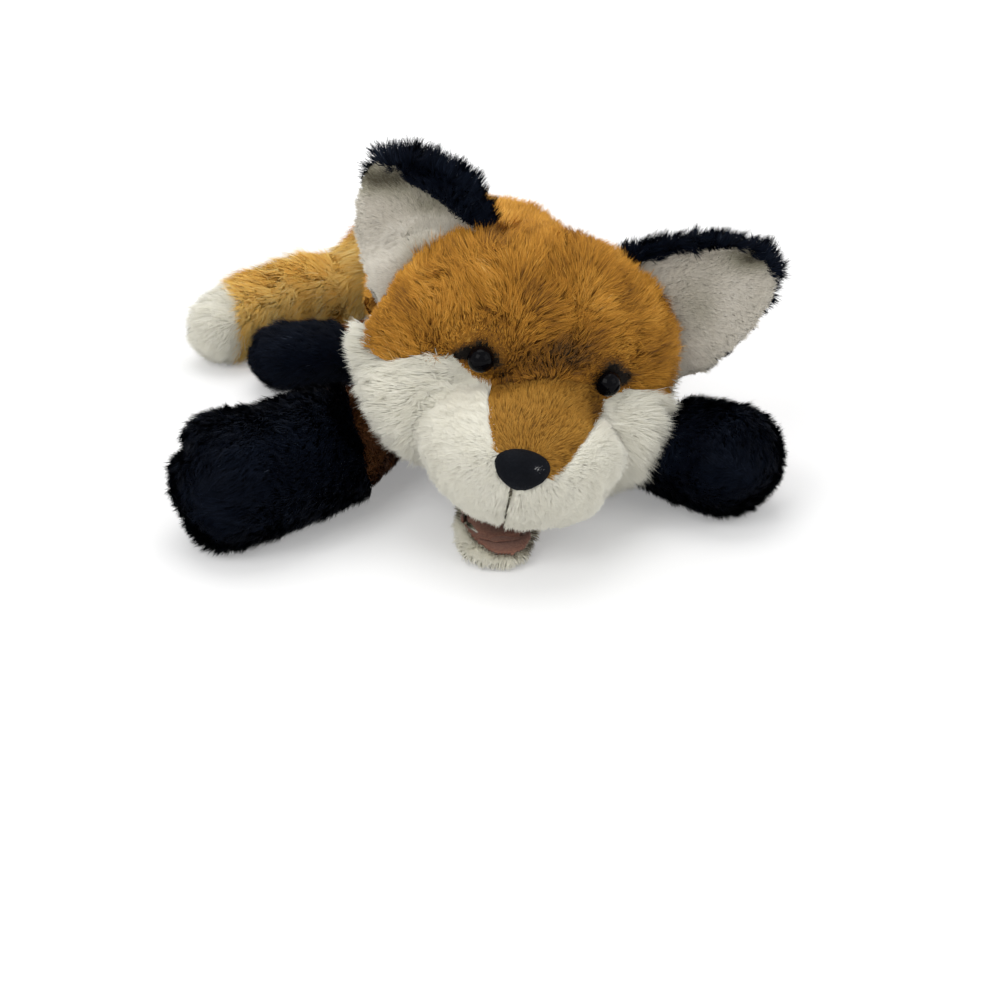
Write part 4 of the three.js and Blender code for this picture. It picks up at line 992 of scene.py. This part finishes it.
nose_base = backing("nose_backing", ["nose"], ["nose"], voxel=0.0009, rounds=6, sunk=0.0003,
                    shape=nose_shape)
velvet = plush("nose_velvet", VELVET, rough=0.75, shine=0.08, root=0.8, tip=1.5)
dress(grow("nose_velvet_cap", nose_base, "nose", velvet, 10000, 0.0011, away_from(NOSE, 0.6),
           even_tone(0.46, 0.10, 0.10, 31, lint), 270, lean=(20, 45), swirl=0.3, tuft=0.3,
           tuft_length=0.002, width=0.00022), "head", "nose_velvet", "nose")

# Ears: long black plush behind and round the rim, short grey-white plush inside, sewn flat
# together with no filling and stitched into the crown, so that they fold.
BLACK = [(0.0, (0.0006, 0.0012, 0.0035)), (0.6, (0.0020, 0.0040, 0.0100)),
         (0.9, (0.009, 0.014, 0.026)), (1.0, (0.05, 0.06, 0.08))]
EAR_GREY = [(0.0, (0.030, 0.026, 0.018)), (0.25, (0.14, 0.125, 0.085)),
            (0.5, (0.46, 0.43, 0.33)), (0.8, (0.80, 0.75, 0.65)), (1.0, (0.90, 0.87, 0.79))]
black_pile = plush("black_plush", BLACK, rough=0.6, shine=0.06, root=0.5, tip=1.4)
ear_pile = plush("ear_plush", EAR_GREY, rough=0.7, root=0.8, tip=1.06, sheen=0.1)
joints = {joint["name"]: joint for joint in frame["joints"]}
# The outline of each ear's lining, in pixels of the photograph. It reaches the rim on the outer
# side, and stops short of it on the inner side and at the tip.
EAR_LININGS = {
    "right": [(330, 240), (340, 190), (358, 173), (372, 166), (398, 167), (414, 185), (440, 202),
              (460, 218), (490, 240), (440, 300), (380, 340), (350, 300)],
    "left": [(630, 268), (654, 258), (683, 249), (717, 247), (743, 247), (762, 262), (775, 283),
             (771, 300), (760, 317), (743, 335), (720, 352), (700, 372), (677, 400), (640, 380)],
}
# Where its pile is darker: grey-brown towards the tip, and painted shadow in the fold at the foot;
# each a pixel, the half width and height of the patch, and how much.
EAR_SHADES = {
    "right": [(386, 180, 42, 15, -0.58), (432, 206, 20, 14, -0.3), (428, 268, 26, 30, -0.17)],
    "left": [(752, 257, 26, 14, -0.55), (692, 304, 24, 26, -0.22)],
}
EAR_CORNERS = {"right": (369, 304), "left": (688, 381)}  # the pixel of each ear's lowest corner
CORNER_SIZE = 14  # in pixels
# What of the right ear lies in front of the crown, and how far over it, in metres.
EAR_FOOT = [(350, 250), (352, 285), (366, 312), (377, 320), (388, 308), (420, 274), (440, 250)]
FOOT_OVER_CROWN = 0.0045
FOOT_SPREAD = 15  # pixels over which its shift is evened out
FOOT_EASE = 6  # added to the sum of shares, so that the shift ends softly
LEFT_SPUR = (686, 386)  # a point of the left ear that is drawn up into its edge
SPUR_RISE = 13  # in pixels


def slid(corners, lower, nearer=0.0):
    """Corners moved down the picture, by pixels of the photograph, and towards the camera."""
    seen = corners - np.array(eye_point)
    depth = (seen @ np.array(look) / FOCAL_PIXELS)[:, None]
    moved = corners - np.array(look_up) * np.reshape(lower, (-1, 1)) * depth
    return moved - unit(seen) * np.reshape(nearer, (-1, 1))


def right_ear_shape(corners, normals):
    """Lower at the tip. The foot runs down to a point, in front of the crown."""
    across, down = pixels_of(corners)
    low = np.clip((down - 225) / 60, 0, 1.15) ** 1.6 * np.clip((430 - across) / 50, 0, 1)
    corners = slid(corners, 30 * low + 0.3 * np.clip(180 - down, 0, None))
    across, down = pixels_of(corners)
    flat = KDTree(len(corners))
    for k, (u, v) in enumerate(zip(across, down)):
        flat.insert((u, v, 0), k)
    flat.balance()
    away = np.linalg.norm(corners - np.array(eye_point), axis=1)
    wanted = np.full(len(corners), np.nan)
    for k in np.flatnonzero(inside(EAR_FOOT, across, down)):
        hit = head_face.ray_cast(eye_point, pixel_ray(across[k], down[k]))[3]
        near = [i for _, i, _ in flat.find_range((across[k], down[k], 0), 6)]
        if hit is not None:
            wanted[k] = np.clip(away[near].max() - hit + FOOT_OVER_CROWN, 0, 4 * FOOT_OVER_CROWN)
    known = np.flatnonzero(~np.isnan(wanted))
    gap = np.hypot(across[:, None] - across[known], down[:, None] - down[known])
    share = np.exp(-(gap / FOOT_SPREAD) ** 2)
    return slid(corners, 0.0, share @ wanted[known] / (share.sum(1) + FOOT_EASE))


def left_ear_shape(corners, normals):
    """Lower at the foot, and drawn down along the upper edge, with no spur below the corner."""
    across, down = pixels_of(corners)
    low = np.clip((down - 262) / 85, 0, 1.1) ** 1.5 * np.clip((790 - across) / 80, 0.35, 1)
    corners = slid(corners, 21 * low + 0.5 * np.clip(250 - down, 0, None))
    across, down = pixels_of(corners)
    u, v = LEFT_SPUR
    return slid(corners, -SPUR_RISE * np.exp(-((across - u) / 7) ** 2 - ((down - v) / 6) ** 2))


def furthest(node, joint):
    """The joint's place, and the corner of a node that is furthest from it."""
    start = np.array(joints[joint]["pos_m"], float)
    corners, _, _ = mesh_arrays(frame["nodes"][node].data)
    return start, corners[np.linalg.norm(corners - start, axis=1).argmax()]


def ear(side, shape, length, bareness, seed):
    """An ear: its black back and rim and its grey-white lining, both fixed where they stand."""
    foot, tip = furthest(f"{side}_ear_back", f"{side}_ear_fold")
    way = unit(tip - foot)
    height = np.linalg.norm(tip - foot)
    bend = ("head", foot - way * 0.004, foot + way * 0.012)

    def from_corner(points):
        across, down = pixels_of(points)
        return np.hypot(across - EAR_CORNERS[side][0], down - EAR_CORNERS[side][1])

    def marks(points, up, away):
        """Gives the front of the ear to its lining inside the outline, and else to its back.

        The lowest corner is the lining's all round."""
        front = (up @ -np.array(look)) > -0.25
        lined = inside(EAR_LININGS[side], *pixels_of(points)) & front
        lined |= from_corner(points) < CORNER_SIZE
        away[:, 0] += lined
        away[:, 1] += ~lined
        away[lined, 1] = away[~lined, 0] = 0
        return away

    base = backing(f"{side}_ear_backing", [f"{side}_ear_back", f"{side}_ear_lining"],
                   [f"{side}_ear_back", f"{side}_ear_lining"], voxel=0.0016, rounds=4, sunk=0.001,
                   marks=marks, shape=shape)
    edge = unit(np.cross(way, np.array(look))) * (1 if side == "right" else -1)
    half = np.abs((base["corners"] - foot) @ edge).max()

    def grey_tip_and_fold_shadow(points):
        """Grey-brown towards the tip, and a painted shadow in the fold at the foot."""
        across, down = pixels_of(points)
        return sum(much * np.exp(-((across - u) / wide) ** 2 - ((down - v) / tall) ** 2)
                   for u, v, wide, tall, much in EAR_SHADES[side])

    def corner(points):
        """Very short at the ear's lowest corner, where it is stitched down."""
        return np.clip(0.12 + 0.88 * (from_corner(points) - 8) / 12, 0.12, 1)

    def rim(points):
        """Longest at the tip, and short on the outer edge, where the lining shows to the rim."""
        outward = (points - foot) @ edge / half
        level = (points - foot) @ way / height
        bare = np.clip((outward - 0.25) / 0.3, 0, 1) * np.clip((0.86 - level) / 0.12, 0, 1)
        tall = 1 + 0.2 * np.clip((level - 0.7) / 0.2, 0, 1)
        return tall * (1 - bareness * bare) * corner(points)

    def fan(points):
        """Pile that lies to the tip, and outwards at both edges."""
        across = np.clip((points - foot) @ edge / half * 1.6, -1, 1)[:, None]
        return unit(way * 0.8 + edge * across)

    dress(grow(f"{side}_ear_back_plush", base, f"{side}_ear_back", black_pile, 26000, length, fan,
               even_tone(0.5, 0.15, 0.16, 41), seed, swirl=0.4, tuft=0.5, ground=False,
               lean=(22, 48), width=0.00042, ragged=0.32, shorten=rim),
          f"{side}_ear", "black_plush", f"{side}_ear_back", bend=bend)
    dress(grow(f"{side}_ear_inner_plush", base, f"{side}_ear_lining", ear_pile, 22000, 0.0046,
               fan, even_tone(0.80, 0.04, 0.05, 43, grey_tip_and_fold_shadow), seed + 10, swirl=0.3, tuft=0.2,
               tuft_length=0.004, width=0.00045, ground=False, ragged=0.15, even=0.7,
               reach=0.012, shorten=corner),
          f"{side}_ear", "ear_plush", f"{side}_ear_lining", bend=bend)


ear("right", right_ear_shape, 0.0100, 0.8, 300)
ear("left", left_ear_shape, 0.0072, 0.5, 330)


# Forelegs: long black plush paws on short sleeves of auburn plush, filled and sewn into the
# body's sides. A few stitches draw in the front of the right paw between two of its toes.
def leg(side, name, body, paw, sleeve, stuffing, joint, fibres, length, seed, shape=None,
        marks=None):
    """A leg: its black paw and its auburn sleeve, combed towards the paw's end.

    fibres are how many the paw and the sleeve have, and length is the paw's pile."""
    foot, end = furthest(paw, joint)
    beyond = end + unit(end - foot) * 0.06
    base = backing(f"{side}_{name}_backing", [paw, sleeve, stuffing], [paw, sleeve],
                   voxel=0.003, rounds=12, sunk=0.004, shape=shape, marks=marks)
    dress(grow(f"{side}_{name}_paw_plush", base, paw, black_pile, fibres[0], length,
               towards(beyond), even_tone(0.42, 0.14, 0.15, seed), seed, swirl=0.35, tuft=0.3,
               tuft_length=0.004, width=0.00045, ragged=0.18, reach=0.009),
          body, "black_plush", paw, stuffing)
    dress(grow(f"{side}_{name}_sleeve_plush", base, sleeve, auburn_pile, fibres[1], 0.0048,
               towards(beyond), even_tone(0.5, 0.15, 0.08, seed), seed + 5, lean=(30, 66),
               reach=0.009),
          body, "auburn_plush", sleeve)


# The groove between the toes, and where the paw is fuller: a pixel, the half width and height in
# pixels and the depth in metres.
TOES = [(168, 447, 18, 9, 0.020), (188, 418, 26, 18, -0.0085), (300, 394, 50, 16, -0.007),
        (205, 540, 34, 20, -0.0095)]


def toes(corners, normals):
    """A groove between two toes of the right forepaw, which is fuller above and below it."""
    across, down = pixels_of(corners)
    for u, v, wide, tall, deep in TOES:
        dent = np.exp(-((across - u) / wide) ** 2 - ((down - v) / tall) ** 2)
        corners = corners - normals * (deep * dent)[:, None]
    return corners


# Two pixels of the seam between the right paw and its sleeve, at its top and at its bottom.
CUFF_SEAM = ((342, 380), (374, 500))


def cuff_marks(points, up, away):
    """Gives the right foreleg up to its cuff to the paw, and the rest to the sleeve."""
    across, down = pixels_of(points)
    (u0, v0), (u1, v1) = CUFF_SEAM
    sleeve = across > u0 + (down - v0) * (u1 - u0) / (v1 - v0)
    away[:, 0] += sleeve
    away[:, 1] += ~sleeve
    away[sleeve, 1] = away[~sleeve, 0] = 0
    return away


leg("right", "foreleg", "right_foreleg", "right_forepaw", "right_foreleg_sleeve",
    "right_foreleg_stuffing", "right_foreleg_swing", (50000, 12000), 0.0090, 400, toes,
    cuff_marks)
leg("left", "foreleg", "left_foreleg", "left_forepaw", "left_foreleg_sleeve",
    "left_foreleg_stuffing", "left_foreleg_swing", (42000, 9000), 0.0090, 420)

# Hind legs: shorter, of the same two plushes, filled and sewn in near the body's rear, and spread
# on the table beside it.
leg("right", "hindleg", "right_hindleg", "right_hind_paw", "right_thigh_sleeve",
    "right_hindleg_stuffing", "right_hindleg_swing", (21000, 6000), 0.0090, 440)
leg("left", "hindleg", "left_hindleg", "left_hind_paw", "left_thigh_sleeve",
    "left_hindleg_stuffing", "left_hindleg_swing", (21000, 6000), 0.0090, 460)

# Tail: a filled brush of long gold plush with a white tip, sewn over the opening for the hand,
# and curled round to the fox's right.
GOLD = [(0.0, (0.19, 0.08, 0.012)), (0.35, (0.62, 0.33, 0.045)), (0.6, (0.82, 0.50, 0.10)),
        (0.85, (0.85, 0.64, 0.23)), (1.0, (0.87, 0.76, 0.46))]
gold_pile = plush("gold_plush", GOLD, root=0.95, tip=1.16)
tail_foot, tail_end = furthest("tail_tip", "tail_wag")
TIP_SEAM = 241  # of the white tip, in pixels across the photograph


def tail_marks(points, up, away):
    """Gives the tail beyond the seam to its tip."""
    tip = pixels_of(points)[0] < TIP_SEAM
    away[:, 0] += tip
    away[:, 1] += ~tip
    away[tip, 1] = away[~tip, 0] = 0
    return away


tail_base = backing("tail_backing", ["tail_brush", "tail_tip", "tail_stuffing"],
                    ["tail_brush", "tail_tip"], rounds=12, sunk=0.0075, marks=tail_marks)
tail_comb = towards(tail_end + unit(tail_end - tail_foot) * 0.03)
dress(grow("tail_brush_plush", tail_base, "tail_brush", gold_pile, 47000, 0.0155, tail_comb,
           even_tone(0.72, 0.10, 0.08, 51), 500, tuft=0.14, tuft_length=0.006, lean=(38, 66),
           width=0.0005, even=0.9, ragged=0.17, reach=0.009),
      "tail", "gold_plush", "tail_brush", "tail_stuffing")
dress(grow("tail_tip_plush", tail_base, "tail_tip", cream_pile, 15000, 0.0125, tail_comb,
           even_tone(0.92, 0.04, 0.04, 53), 520, tuft=0.14, tuft_length=0.006, lean=(38, 66),
           width=0.0005, even=0.9, ragged=0.17, reach=0.009),
      "tail", "white_plush", "tail_tip")

# Inside: a cotton lining from the opening under the tail through the neck to a pocket for the
# fingers in the muzzle, with a turned hem round the opening.
cotton = cloth("cotton_lining", (0.74, 0.70, 0.60), (0.58, 0.54, 0.45), 260, weave=True,
               sheen=0.1, bump=0.1)
for node, body in (("hand_lining", "torso"), ("neck_lining", "neck"), ("finger_pocket", "head"),
                   ("opening_hem", "torso")):
    cloth_piece(f"{node}_cloth", node, cotton, body, "cotton_lining", None, 1, 0.0003)
